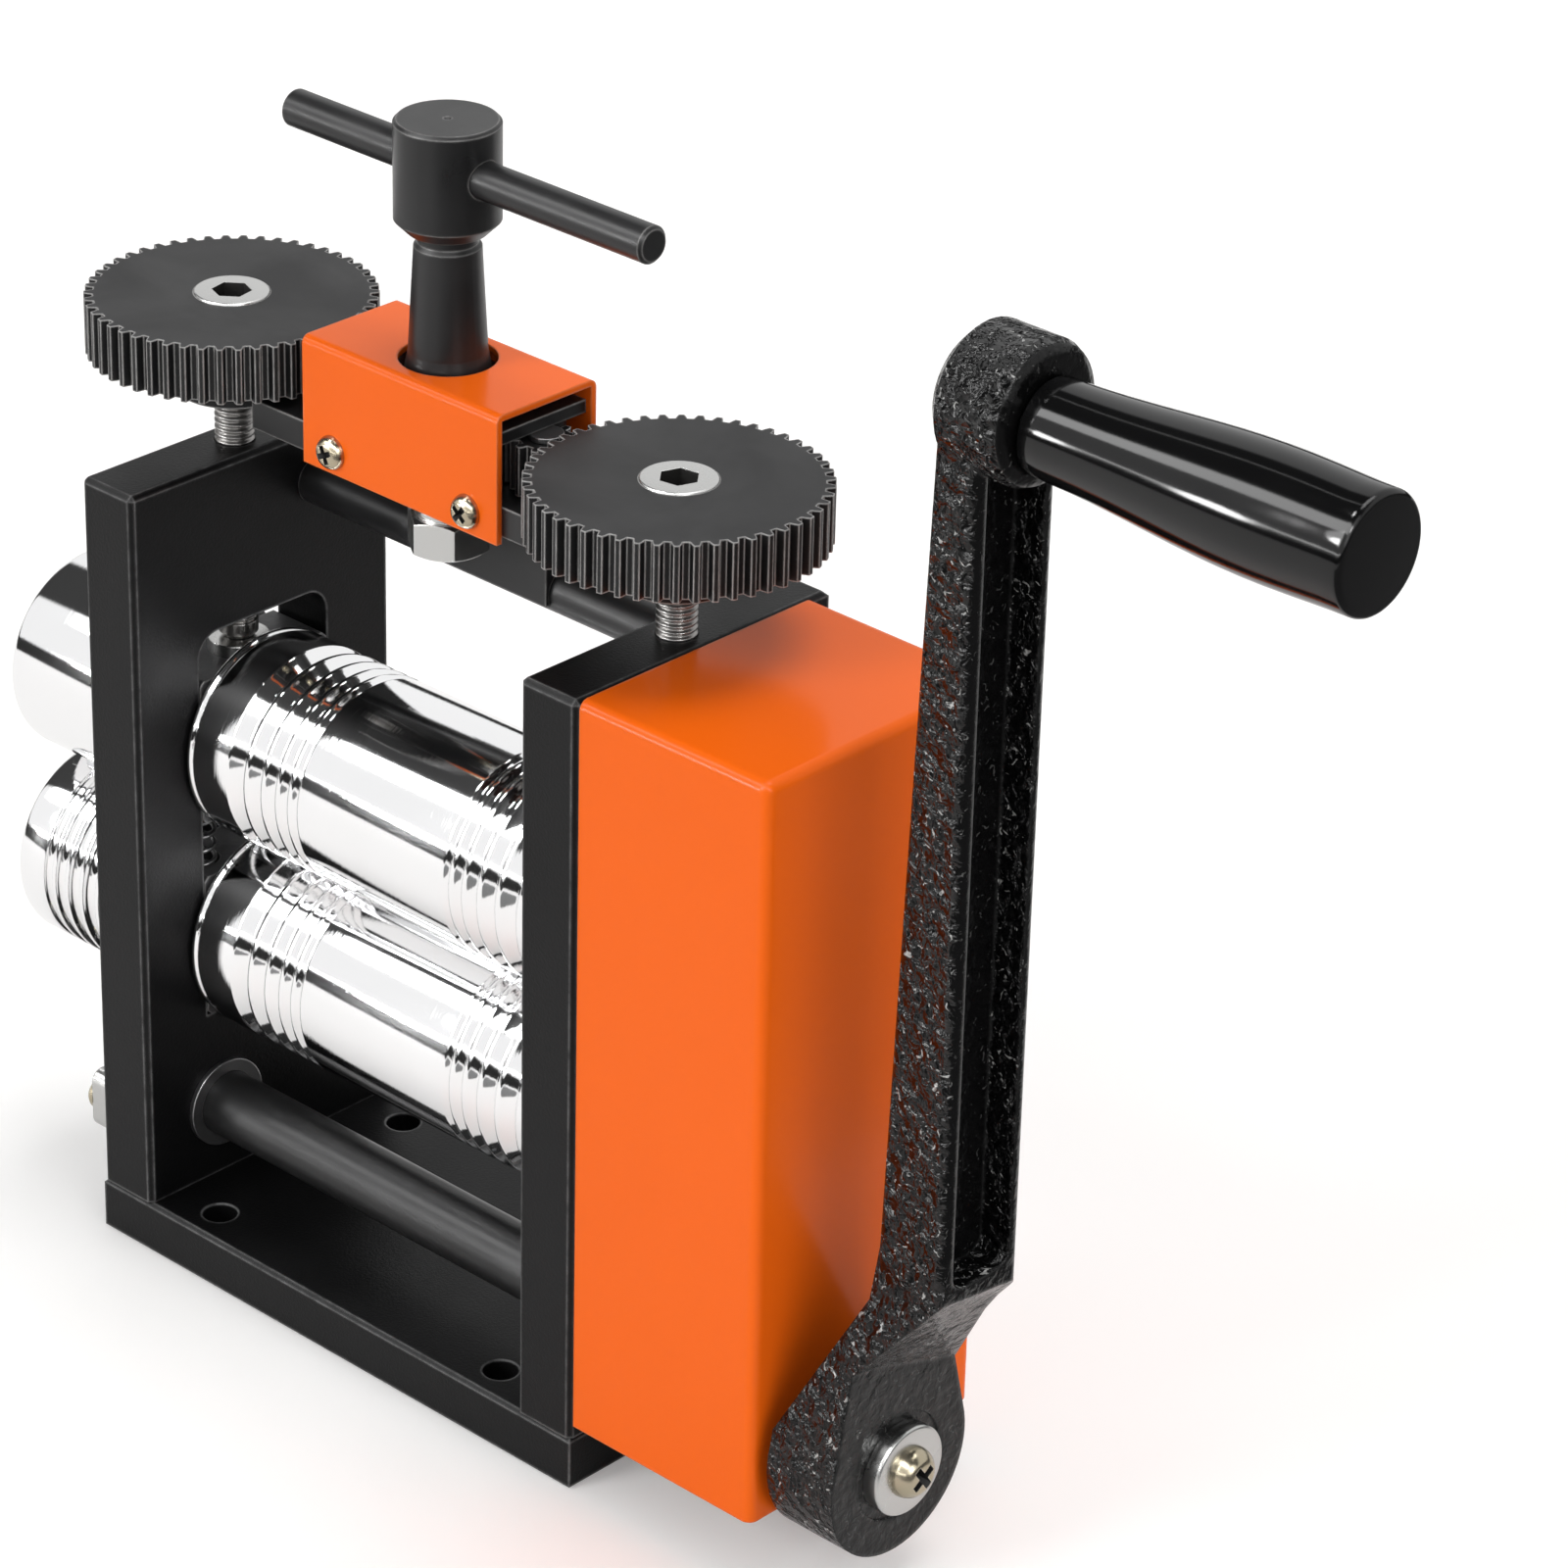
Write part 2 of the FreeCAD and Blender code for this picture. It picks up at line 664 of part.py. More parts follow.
def pinion_cover():
    """Folded sheet cover over the small gearbox, open at both ends."""
    outer = box(-pinion_cover_half_length, pinion_cover_half_length, -pinion_cover_half_width,
                pinion_cover_half_width, pinion_cover_bottom_z, pinion_cover_top_z)
    bends = [e for e in outer.Edges if e.BoundBox.XLength > 1 and e.BoundBox.ZMin > pinion_cover_top_z - 1]
    outer = outer.makeFillet(pinion_cover_round, bends)
    inner_half = pinion_cover_half_width - pinion_cover_wall
    inner = box(-pinion_cover_half_length - 1, pinion_cover_half_length + 1, -inner_half, inner_half,
                pinion_cover_bottom_z - 1, pinion_cover_top_z - pinion_cover_wall)
    cover = outer.cut(inner)
    cover = cover.cut(rod_z(pinion_cover_hole_radius, pinion_cover_top_z - 3, pinion_cover_top_z + 1, 0, 0))
    for place, outward in pinion_cover_screw_places():
        y0 = min(outward * inner_half, outward * pinion_cover_half_width) - 1
        hole = rod_y(pan_shank_radius + sliding, y0, y0 + pinion_cover_wall + 2, place, bridge_screw_z)
        cover = cover.cut(hole)
    return cover


def pinion_cover_screw_places():
    return [(x, outward) for x in (-pinion_cover_screw_x, pinion_cover_screw_x) for outward in (-1, 1)]


def pinion_cover_screws():
    screws = []
    for place, outward in pinion_cover_screw_places():
        seat = V(place, outward * pinion_cover_half_width, bridge_screw_z)
        turn = 25 if place < 0 else 50
        length = pinion_cover_wall + pan_shank_length - 0.3
        screws.append(pan_screw_at(seat, V(0, outward, 0), length, turn))
    return group(screws)


# ---------------------------------------------------------------- gear case
def gear_case():
    """Sheet case over the roller gears, open towards the right side plate and below."""
    outer = box(plate_outer, case_outer_x, case_front_y, case_back_y, case_bottom_z, plate_top_z)
    rounded = []
    for edge in outer.Edges:
        spot = edge.BoundBox
        if spot.XMax > plate_outer + 1 and spot.ZMax > case_bottom_z + 1:
            rounded.append(edge)
    outer = outer.makeFillet(case_round, rounded)
    inner_back_y = case_back_y - case_wall
    inner = box(plate_outer - 1, case_outer_x - case_wall, case_front_y + case_wall, inner_back_y,
                case_bottom_z - 1, plate_top_z - case_wall)
    case = outer.cut(inner)
    case = case.cut(rod_x(crank_shaft_radius + 0.8, case_outer_x - 3, case_outer_x + 1, crank_offset_y, crank_axis_z))
    for z in case_block_heights():
        case = case.cut(rod_y(pan_shank_radius + sliding, inner_back_y - 1, case_back_y + 1, case_block_x, z))
    return case


case_block_half = 4.0
case_block_depth = 5.8
case_block_low = 1.0
case_block_high = 4.0
case_block_x = plate_outer + case_block_half


def case_block_heights():
    return [case_bottom_z + case_wall + case_block_half + case_block_low,
            plate_top_z - case_wall - case_block_half - case_block_high]


def gear_case_blocks():
    """Two tapped blocks on the right plate that the case is screwed to from the back."""
    back_y = case_back_y - case_wall
    blocks = []
    for z in case_block_heights():
        block = box(plate_outer, plate_outer + 2 * case_block_half, back_y - case_block_depth, back_y,
                    z - case_block_half, z + case_block_half)
        hole = rod_y(pan_shank_radius + fixed_fit, back_y - pan_shank_length - 1, back_y, case_block_x, z)
        blocks.append(block.cut(hole))
    return group(blocks)


def gear_case_screws():
    length = case_wall + pan_shank_length
    screws = []
    for z in case_block_heights():
        screws.append(pan_screw_at(V(case_block_x, case_back_y, z), V(0, 1, 0), length, 10))
    return screws


# ---------------------------------------------------------------- rollers
def grooved_barrel_profile():
    """Half of the barrel from the middle to the right end: plain, then wire grooves, then plain."""
    points = [(groove_band_start, roller_radius)]
    x = groove_band_start
    for width in groove_widths:
        points.append((x + width / 2, roller_radius - width / 2))
        points.append((x + width, roller_radius))
        x += width + groove_land
        points.append((x, roller_radius))
    points.append((barrel_half - roller_edge, roller_radius))
    points.append((barrel_half, roller_radius - roller_edge))
    return points


def roller(axis_z):
    """Barrel with its two journals and the seats for gears and the extension roller."""
    right = grooved_barrel_profile()
    left = [(-x, r) for x, r in right[::-1]]
    left_end = -(shoulder_x + extension_length - end_recess)
    profile = [(left_end, seat_radius), (-shoulder_x, seat_radius), (-shoulder_x, journal_radius),
               (-barrel_half, journal_radius)]
    profile += left + right
    profile += [(barrel_half, journal_radius), (shoulder_x, journal_radius), (shoulder_x, seat_radius),
                (pair_end_x, seat_radius)]
    body = turned_x(profile, 0, axis_z)
    side_cut = box(left_end - 1, -shoulder_x, -seat_radius, seat_radius,
                   axis_z + seat_radius - seat_flat, axis_z + seat_radius + 1)
    gear_cut = box(shoulder_x, pair_end_x + 1, -seat_radius, seat_radius,
                   axis_z + seat_radius - seat_flat, axis_z + seat_radius + 1)
    body = body.cut(side_cut).cut(gear_cut)
    hole = end_screw_shank + fixed_fit
    body = body.cut(rod_x(hole, pair_end_x - end_screw_depth, pair_end_x + 1, 0, axis_z))
    return body.cut(rod_x(hole, left_end - 1, left_end + end_screw_depth, 0, axis_z))


end_recess = 5.0
end_recess_radius = 10.0


def extension_roller(axis_z, groove_radii):
    """Narrow roller on the left journal; its groove list is empty for the plain one."""
    x0 = -(shoulder_x + extension_length)
    x1 = -shoulder_x
    profile = [(x0, roller_radius - roller_edge), (x0 + roller_edge, roller_radius),
               (x1 - roller_edge, roller_radius), (x1, roller_radius - roller_edge)]
    barrel = turned_x(profile, 0, axis_z)
    x = x1 - roller_edge - round_groove_land
    for radius in groove_radii:
        ring = Part.makeTorus(roller_radius, radius, V(x - radius, 0, axis_z), V(1, 0, 0))
        barrel = barrel.cut(ring)
        x -= 2 * radius + round_groove_land
    barrel = barrel.cut(rod_x(end_recess_radius, x0 - 1, x0 + end_recess, 0, axis_z))
    return barrel.cut(flatted_rod_x(seat_radius + fixed_fit, x0, x1, 0, axis_z, seat_flat))


def end_washer(x0, x1, axis_z):
    washer = rod_x(seat_radius + 1.5, x0, x1, 0, axis_z)
    return washer.cut(rod_x(end_screw_shank + sliding, x0 - 1, x1 + 1, 0, axis_z))


def end_screw(seat_x, outward, axis_z):
    crown = seat_x + outward * end_screw_head_height
    tip = seat_x - outward * (end_washer_thickness + end_screw_depth - 1)
    head = rod_x(end_screw_head, min(seat_x, crown), max(seat_x, crown), 0, axis_z)
    shank = rod_x(end_screw_shank, min(seat_x, tip), max(seat_x, tip), 0, axis_z)
    slot_floor = seat_x + outward * end_screw_head_height * 0.5
    slot = box(min(slot_floor, crown), max(slot_floor, crown), -0.5, 0.5, axis_z - 6, axis_z + 6)
    return head.fuse(shank).cut(slot)


def roller_end_fasteners(axis_z):
    """Washer and screw at both ends of a roller shaft, in two groups."""
    left_face = -(shoulder_x + extension_length - end_recess)
    left_seat = left_face - end_washer_thickness
    right_seat = pair_end_x + end_washer_thickness
    washers = group([end_washer(left_seat, left_face, axis_z), end_washer(pair_end_x, right_seat, axis_z)])
    screws = group([end_screw(left_seat, -1, axis_z), end_screw(right_seat, 1, axis_z)])
    return washers, screws


# ---------------------------------------------------------------- drive train on the right
def drive_direction():
    """Angle from the crank shaft to the lower roller in the (y, z) plane, in degrees."""
    return math.degrees(math.atan2(lower_axis_z - crank_axis_z, -crank_offset_y))


def crank_pinion():
    face = gear_face(pinion_teeth, drive_module, drive_addendum, 1.1 * drive_module, drive_direction())
    pinion = gear_along_x(face, drive_start_x - 0.5, drive_end_x + 0.5, crank_offset_y, crank_axis_z)
    bore = rod_x(crank_shaft_radius + fixed_fit, drive_start_x - 1, drive_end_x + 1, crank_offset_y, crank_axis_z)
    return pinion.cut(bore)


def drive_wheel():
    tooth = meshing_tooth(drive_direction(), pinion_teeth, wheel_teeth, drive_direction())
    face = gear_face(wheel_teeth, drive_module, drive_addendum, 1.1 * drive_module, tooth)
    wheel = gear_along_x(face, drive_start_x, drive_end_x, 0, lower_axis_z)
    hub = rod_x(seat_radius + 4, shoulder_x, pair_start_x, 0, lower_axis_z)
    bore = flatted_rod_x(seat_radius + fixed_fit, shoulder_x, pair_start_x, 0, lower_axis_z, seat_flat)
    return wheel.fuse(hub).cut(bore)


def pair_gear(axis_z, tooth):
    """One of the two long-toothed gears that stay in mesh while the rollers part."""
    face = gear_face(pair_teeth, pair_module, pair_addendum, pair_dedendum, tooth)
    gear = gear_along_x(face, pair_start_x, pair_end_x, 0, axis_z)
    return gear.cut(flatted_rod_x(seat_radius + fixed_fit, pair_start_x, pair_end_x, 0, axis_z, seat_flat))


def upper_spacer():
    """Sleeve in place of the drive wheel on the upper shaft."""
    sleeve = rod_x(seat_radius + 2, shoulder_x, pair_start_x, 0, upper_axis_z)
    return sleeve.cut(flatted_rod_x(seat_radius + fixed_fit, shoulder_x, pair_start_x, 0, upper_axis_z, seat_flat))


# ---------------------------------------------------------------- crank
def crank_shaft():
    left_end = -plate_outer - keeper_thickness - 2.4
    groove_left = -plate_outer - keeper_thickness - end_gap
    groove_right = -plate_outer + end_gap
    waist = crank_shaft_radius - keeper_depth
    bevel = 0.6
    profile = [(left_end, crank_shaft_radius - bevel), (left_end + bevel, crank_shaft_radius),
               (groove_left, crank_shaft_radius), (groove_left, waist), (groove_right, waist),
               (groove_right, crank_shaft_radius), (arm_seat_x - 0.4, crank_shaft_radius)]
    shaft = turned_x(profile, crank_offset_y, crank_axis_z)
    hole = rod_x(crank_screw_shank + fixed_fit, arm_seat_x - 14, arm_seat_x, crank_offset_y, crank_axis_z)
    return shaft.cut(hole)


crank_screw_shank = 2.0
crank_screw_head = 3.9
crank_screw_head_height = 2.6
recess_half = arm_half_width - arm_rim


def arm_side_outline():
    """The arm seen along Y: hub and web below, a shank that thins upwards."""
    hub_low_z = crank_axis_z - arm_hub_radius - 1
    top_z = grip_axis_z + arm_half_width
    low_inner_x = arm_outer_x - arm_low_thickness
    high_inner_x = arm_outer_x - arm_high_thickness
    return [(arm_hub_start_x, hub_low_z), (arm_outer_x, hub_low_z), (arm_outer_x, top_z), (high_inner_x, top_z),
            (low_inner_x, arm_web_z), (arm_hub_start_x, crank_axis_z + arm_hub_radius * 0.45)]


def arm_front_outline():
    """The arm seen along X above the hub: tapered web, then parallel shank."""
    y = crank_offset_y
    web_low_z = crank_axis_z + 4
    web_half = math.sqrt(arm_hub_radius ** 2 - (web_low_z - crank_axis_z) ** 2)
    return [(y - web_half, web_low_z), (y - arm_half_width, arm_web_z + 2), (y - arm_half_width, grip_axis_z),
            (y + arm_half_width, grip_axis_z), (y + arm_half_width, arm_web_z - 6), (y + web_half, web_low_z)]


def half_space(point, outward, size):
    """A block that fills the side of a plane that the vector outward points to."""
    block = Part.makeBox(2 * size, 2 * size, size, V(-size, -size, 0))
    block.Placement = FreeCAD.Placement(point, FreeCAD.Rotation(V(0, 0, 1), outward))
    return block


def arm_ramp():
    """What is cut away in front of the hub: two slanting facets with a crease between them."""
    y = crank_offset_y
    z = crank_axis_z
    size = crank_length
    crease = V(arm_hub_end_x, y - 6.2, z + 19.1)
    low = V(arm_hub_end_x, y + 12.4, z + 12.9)
    rear = V(arm_hub_end_x + 10.1, y + 8.4, z + 29.5)
    high = V(arm_outer_x, y - arm_half_width, z + 36.0)
    lower_facet = half_space(crease, (low - crease).cross(rear - crease), size)
    upper_facet = half_space(crease, (rear - crease).cross(high - crease), size)
    front = box(arm_hub_end_x, arm_outer_x + 1, y - size, y + size, z - size, z + size)
    return lower_facet.common(upper_facet).common(front)


def crank_arm():
    """Cast crank arm: hub, dog-leg shank with a channel in its outer face, and the grip boss."""
    y = crank_offset_y
    far = arm_outer_x + 1
    side = prism_along_y(arm_side_outline(), y - arm_hub_radius - 1, y + arm_hub_radius + 1)
    front = prism_along_x(arm_front_outline(), arm_hub_start_x, far)
    front = front.fuse(rod_x(arm_hub_radius, arm_hub_start_x, far, y, crank_axis_z))
    front = front.fuse(rod_x(arm_half_width, arm_hub_start_x, far, y, grip_axis_z))
    arm = side.common(front).removeSplitter()
    uprights = [e for e in arm.Edges if e.BoundBox.ZLength > crank_length / 2]
    arm = arm.makeFillet(arm_edge_round, uprights).cut(arm_ramp())
    floor_x = arm_outer_x - arm_recess_depth
    channel = box(floor_x, far, y - recess_half, y + recess_half, arm_channel_z, grip_axis_z)
    corners = [e for e in channel.Edges if e.BoundBox.XLength > 1 and e.BoundBox.ZMax < arm_channel_z + 1]
    arm = arm.cut(channel.makeFillet(arm_channel_round, corners))
    boss = turned_x([(arm_boss_start_x, arm_boss_radius - arm_boss_round),
                     (arm_boss_start_x + arm_boss_round, arm_boss_radius),
                     (arm_boss_end_x - arm_boss_round, arm_boss_radius),
                     (arm_boss_end_x - arm_boss_round * 0.3, arm_boss_radius - arm_boss_round * 0.3),
                     (arm_boss_end_x, arm_boss_radius - arm_boss_round)], y, grip_axis_z + arm_boss_rise)
    arm = arm.fuse(boss).removeSplitter()
    arm = arm.cut(rod_x(hub_recess_radius, arm_hub_end_x - hub_recess_depth, arm_hub_end_x + 1, y, crank_axis_z))
    arm = arm.cut(rod_x(crank_shaft_radius + fixed_fit, arm_hub_start_x - 1, arm_hub_end_x + 1, y, crank_axis_z))
    inner_x = arm_outer_x - arm_high_thickness - 1
    return arm.cut(rod_x(grip_spindle_radius + fixed_fit, inner_x, arm_boss_end_x + 1, y, grip_axis_z))


def crank_washer():
    x1 = arm_seat_x + crank_washer_thickness
    washer = rod_x(crank_washer_radius, arm_seat_x, x1, crank_offset_y, crank_axis_z)
    hole = rod_x(crank_screw_shank + sliding, arm_seat_x - 1, x1 + 1, crank_offset_y, crank_axis_z)
    return washer.cut(hole)


def crank_screw():
    seat = arm_seat_x + crank_washer_thickness
    dome = turned_x([(seat, crank_screw_head), (seat + crank_screw_head_height * 0.4, crank_screw_head),
                     (seat + crank_screw_head_height * 0.8, crank_screw_head * 0.8),
                     (seat + crank_screw_head_height, crank_screw_head * 0.4)], crank_offset_y, crank_axis_z)
    shank = rod_x(crank_screw_shank, arm_seat_x - 13, seat, crank_offset_y, crank_axis_z)
    y = crank_offset_y
    z = crank_axis_z
    floor = seat + crank_screw_head_height * 0.45
    half = pan_slot / 2
    arm = crank_screw_head * 0.55
    slots = [box(floor, seat + 4, y - arm, y + arm, z - half, z + half),
             box(floor, seat + 4, y - half, y + half, z - arm, z + arm)]
    for slot in slots:
        slot.rotate(V(0, y, z), V(1, 0, 0), 35)
    return dome.fuse(shank).cut(slots[0]).cut(slots[1])


def grip_spindle():
    """Bolt that the grip turns on; its head inside the grip keeps the grip on."""
    head_start = grip_end_x - 12
    head_end = grip_end_x - 7
    start = arm_outer_x - arm_high_thickness + 0.3
    profile = [(start, grip_spindle_radius), (head_start, grip_spindle_radius), (head_start, grip_spindle_head),
               (head_end, grip_spindle_head)]
    return turned_x(profile, crank_offset_y, grip_axis_z)


def grip():
    """Barrel grip, turned profile with a waist at the arm."""
    root = grip_start_x
    length = grip_length
    stations = [(0.0, grip_root_radius - 0.6), (0.012, grip_root_radius), (0.10, grip_root_radius + 0.35),
                (0.25, grip_root_radius + 0.95), (0.45, grip_belly_radius - 0.25), (0.68, grip_belly_radius),
                (0.85, grip_belly_radius - 0.1), (0.96, grip_end_radius + 0.1)]
    curve = Part.BSplineCurve()
    curve.interpolate([V(root + s * length, r, 0) for s, r in stations[1:]])
    rim = 1.0
    start = V(root + stations[1][0] * length, stations[1][1], 0)
    end = V(root + stations[-1][0] * length, stations[-1][1], 0)
    tip = V(grip_end_x - rim, grip_end_radius, 0)
    face_rim = V(grip_end_x, grip_end_radius - rim, 0)
    bend = V(grip_end_x - rim * 0.3, grip_end_radius - rim * 0.3, 0)
    edges = [Part.makeLine(V(root, 0, 0), V(root, stations[0][1], 0)),
             Part.makeLine(V(root, stations[0][1], 0), start),
             curve.toShape(),
             Part.makeLine(end, tip),
             Part.Arc(tip, bend, face_rim).toShape(),
             Part.makeLine(face_rim, V(grip_end_x, 0, 0)),
             Part.makeLine(V(grip_end_x, 0, 0), V(root, 0, 0))]
    solid = Part.Face(Part.Wire(edges)).revolve(V(0, 0, 0), V(1, 0, 0), 360)
    bore = [(root - 1, grip_spindle_radius + running), (grip_end_x - 12 - end_gap, grip_spindle_radius + running),
            (grip_end_x - 12 - end_gap, grip_spindle_head + sliding),
            (grip_end_x - 7 + end_gap, grip_spindle_head + sliding)]
    solid = solid.cut(turned_x(bore, 0, 0))
    solid.translate(V(0, crank_offset_y, grip_axis_z))
    return solid


# ---------------------------------------------------------------- T-handle and adjusting train
def thread_profile(z0, z1, major, depth, pitch):
    """Ring-shaped thread ridges, as (radius, z) pairs from z0 up to z1."""
    turns = int((z1 - z0) / pitch)
    points = []
    for turn in range(turns):
        z = z0 + turn * pitch
        points.append((major - depth, z))
        points.append((major, z + pitch * 0.4))
        points.append((major, z + pitch * 0.6))
    points.append((major - depth, z0 + turns * pitch))
    return points


hub_bore_radius = 4.0
hub_bore_stop = 0.8
spindle_foot_height = 1.4


def handle_spindle():
    profile = thread_profile(nut_bottom_z - 1.4, nut_top_z, spindle_radius, 0.35, 1.0)
    profile += [(spindle_radius, nut_top_z), (spindle_radius, spindle_foot_z),
                (spindle_foot_radius, spindle_foot_z),
                (spindle_foot_radius, spindle_foot_z + spindle_foot_height),
                (spindle_low_radius, spindle_foot_z + 3 * spindle_foot_height),
                (spindle_top_radius, hub_bottom_z - 2.2), (spindle_top_radius - 0.5, hub_bottom_z - 1.6),
                (spindle_top_radius - 0.5, hub_bottom_z),
                (hub_bore_radius, hub_bottom_z), (hub_bore_radius, handle_bar_z - handle_bar_radius - hub_bore_stop)]
    return turned_z(profile, 0, 0)


def handle_hub():
    bevel = 1.9
    crown = 0.5
    hub = turned_z([(hub_radius - bevel, hub_bottom_z), (hub_radius, hub_bottom_z + bevel),
                    (hub_radius, hub_top_z - crown), (hub_radius - crown, hub_top_z)], 0, 0)
    bore_top_z = handle_bar_z - handle_bar_radius - hub_bore_stop + 0.1
    hub = hub.cut(rod_z(hub_bore_radius + fixed_fit, hub_bottom_z - 1, bore_top_z, 0, 0))
    hub = hub.cut(cone_z(0.05, 0.7, hub_top_z - 0.5, hub_top_z + 0.05, 0, 0))
    return hub.cut(rod_x(handle_bar_radius + fixed_fit, -hub_radius - 1, hub_radius + 1, 0, handle_bar_z))


def handle_bar():
    bevel = 0.5
    return turned_x([(-handle_bar_left, handle_bar_radius - bevel), (-handle_bar_left + bevel, handle_bar_radius),
                     (handle_bar_right - bevel, handle_bar_radius), (handle_bar_right, handle_bar_radius - bevel)],
                    0, handle_bar_z)


def small_gear(teeth, tooth, z0, z1, x, bore_radius):
    face = gear_face(teeth, adjust_module, stub * adjust_module, (stub + 0.3) * adjust_module, tooth)
    return gear_along_z(face, z0, z1, x, 0).cut(rod_z(bore_radius, z0 - 1, z1 + 1, x, 0))


def handle_pinion():
    return small_gear(handle_pinion_teeth, 0, idler_bottom_z, idler_top_z, 0, spindle_radius + fixed_fit)


def handle_nut():
    nut = hexagon_z(nut_across_flats, nut_bottom_z, nut_top_z, 0, 0, nut_turn)
    corner = nut_across_flats / math.sqrt(3)
    trim = 0.9
    crown = turned_z([(corner - trim, nut_bottom_z), (corner + 0.1, nut_bottom_z + trim * 0.62),
                      (corner + 0.1, nut_top_z - trim * 0.62), (corner - trim, nut_top_z)], 0, 0)
    collar = rod_z(nut_collar_radius, nut_top_z - 1, nut_top_z + nut_collar_height, 0, 0)
    nut = nut.common(crown).fuse(collar)
    return nut.cut(rod_z(spindle_radius + fixed_fit, nut_bottom_z - 1, nut_top_z + nut_collar_height + 1, 0, 0))


def train_teeth_angles(side):
    """Tooth angles of the inner idler, the outer idler and the adjusting gear on one side."""
    direction = 0 if side > 0 else 180
    inner = meshing_tooth(0, handle_pinion_teeth, inner_idler_teeth, direction)
    outer = meshing_tooth(inner, inner_idler_teeth, outer_idler_teeth, direction)
    gear = meshing_tooth(outer, outer_idler_teeth, adjust_gear_teeth, direction)
    return inner, outer, gear


def idler(side, which):
    inner, outer, gear = train_teeth_angles(side)
    bore = stud_radius + running
    if which == "inner":
        return small_gear(inner_idler_teeth, inner, idler_bottom_z, idler_top_z, side * inner_idler_x, bore)
    return small_gear(outer_idler_teeth, outer, idler_bottom_z, idler_top_z, side * outer_idler_x, bore)


def cap_head(x, grown):
    """Countersunk head of the cap screw, or its seat in the gear when grown."""
    rim = 0.6
    top = adjust_gear_top_z + cap_proud
    low_radius = cap_shank_radius + 0.5
    cone_depth = cap_radius - low_radius
    rim_z = adjust_gear_top_z - rim
    cone = cone_z(low_radius + grown, cap_radius + grown, rim_z - cone_depth, rim_z, x, 0)
    return cone.fuse(rod_z(cap_radius + grown, rim_z, top, x, 0))


def spigot_top_z():
    return adjust_gear_top_z - 0.6 - (cap_radius - cap_shank_radius - 0.5) - 0.3


def adjusting_gear(side):
    x = side * plate_mid
    tooth = train_teeth_angles(side)[2]
    face = gear_face(adjust_gear_teeth, adjust_module, stub * adjust_module, (stub + 0.3) * adjust_module, tooth)
    gear = gear_along_z(face, adjust_gear_bottom_z, adjust_gear_top_z, x, 0)
    gear = gear.fuse(rod_z(adjust_boss_radius, boss_bottom_z, adjust_gear_bottom_z + 1, x, 0))
    gear = gear.cut(cap_head(x, fixed_fit))
    gear = gear.cut(rod_z(cap_shank_radius + sliding, spigot_top_z() - 1, adjust_gear_top_z, x, 0))
    return gear.cut(rod_z(adjust_spigot_radius + fixed_fit, boss_bottom_z - 1, spigot_top_z() + 0.05, x, 0))


def adjusting_screw(side):
    x = side * plate_mid
    bevel = 0.8
    profile = [(adjust_screw_radius - bevel, screw_tip_z), (adjust_screw_radius, screw_tip_z + bevel)]
    thread_low = screw_tip_z + 3
    profile += [(adjust_screw_radius, thread_low - 0.3)]
    profile += thread_profile(thread_low, boss_bottom_z - 0.2, adjust_screw_radius, adjust_thread_depth, adjust_pitch)
    profile += [(adjust_screw_radius, boss_bottom_z), (adjust_spigot_radius, boss_bottom_z),
                (adjust_spigot_radius, spigot_top_z())]
    screw = turned_z(profile, x, 0)
    return screw.cut(rod_z(cap_shank_radius + fixed_fit, spigot_top_z() - 9, spigot_top_z() + 1, x, 0))


def adjusting_cap(side):
    x = side * plate_mid
    cap = cap_head(x, 0).fuse(rod_z(cap_shank_radius, spigot_top_z() - 8, adjust_gear_top_z - 2, x, 0))
    top = adjust_gear_top_z + cap_proud
    turn = cap_turn_left if side < 0 else cap_turn_right
    return cap.cut(hexagon_z(cap_socket, top - cap_socket_depth, top + 1, x, 0, turn))


# ---------------------------------------------------------------- build
os.makedirs("parts", exist_ok=True)

save("base_plate", base_plate())
save("base_screws", group([base_screw(x, y, 0) for x, y in base_screw_places()]))
for label, side in (("left", -1), ("right", 1)):
    save("side_plate_" + label, side_plate(side))
    save("lower_block_" + label, bearing_block(side, lower_axis_z, 1))
    save("upper_block_" + label, bearing_block(side, upper_axis_z, -1))
    save("adjusting_gear_" + label, adjusting_gear(side))
    save("adjusting_screw_" + label, adjusting_screw(side))
    save("adjusting_cap_" + label, adjusting_cap(side))
    save("inner_idler_" + label, idler(side, "inner"))
    save("outer_idler_" + label, idler(side, "outer"))
save("crank_bushes", group([crank_bush(-1), crank_bush(1)]))
save("shaft_keeper", shaft_keeper())
save("lift_springs", lift_springs())
save("thrust_pads", thrust_pads())
save("tie_rod", tie_rod())
save("tie_rod_screws", tie_rod_screws())
save("bridge_bar", bridge_bar())
save("bridge_post", bridge_post())
save("bridge_post_screws", bridge_post_screws())
save("gearbox_top_plate", top_plate())
save("gearbox_pillars", gearbox_pillars())
save("idler_studs", idler_studs())
save("pinion_cover", pinion_cover())
save("pinion_cover_screws", pinion_cover_screws())
save("gear_case", gear_case())
save("gear_case_blocks", gear_case_blocks())
save("plate_pan_screws", group([keeper_screw()] + gear_case_screws()))

for label, axis_z, grooves in (("lower", lower_axis_z, round_groove_radii), ("upper", upper_axis_z, [])):
    washers, screws = roller_end_fasteners(axis_z)
    save(label + "_roller", roller(axis_z))
    save(label + "_extension_roller", extension_roller(axis_z, grooves))
    save(label + "_end_washers", washers)
    save(label + "_end_screws", screws)
save("lower_pair_gear", pair_gear(lower_axis_z, 90))
save("upper_pair_gear", pair_gear(upper_axis_z, meshing_tooth(90, pair_teeth, pair_teeth, 90)))
save("drive_wheel", drive_wheel())
save("upper_spacer", upper_spacer())

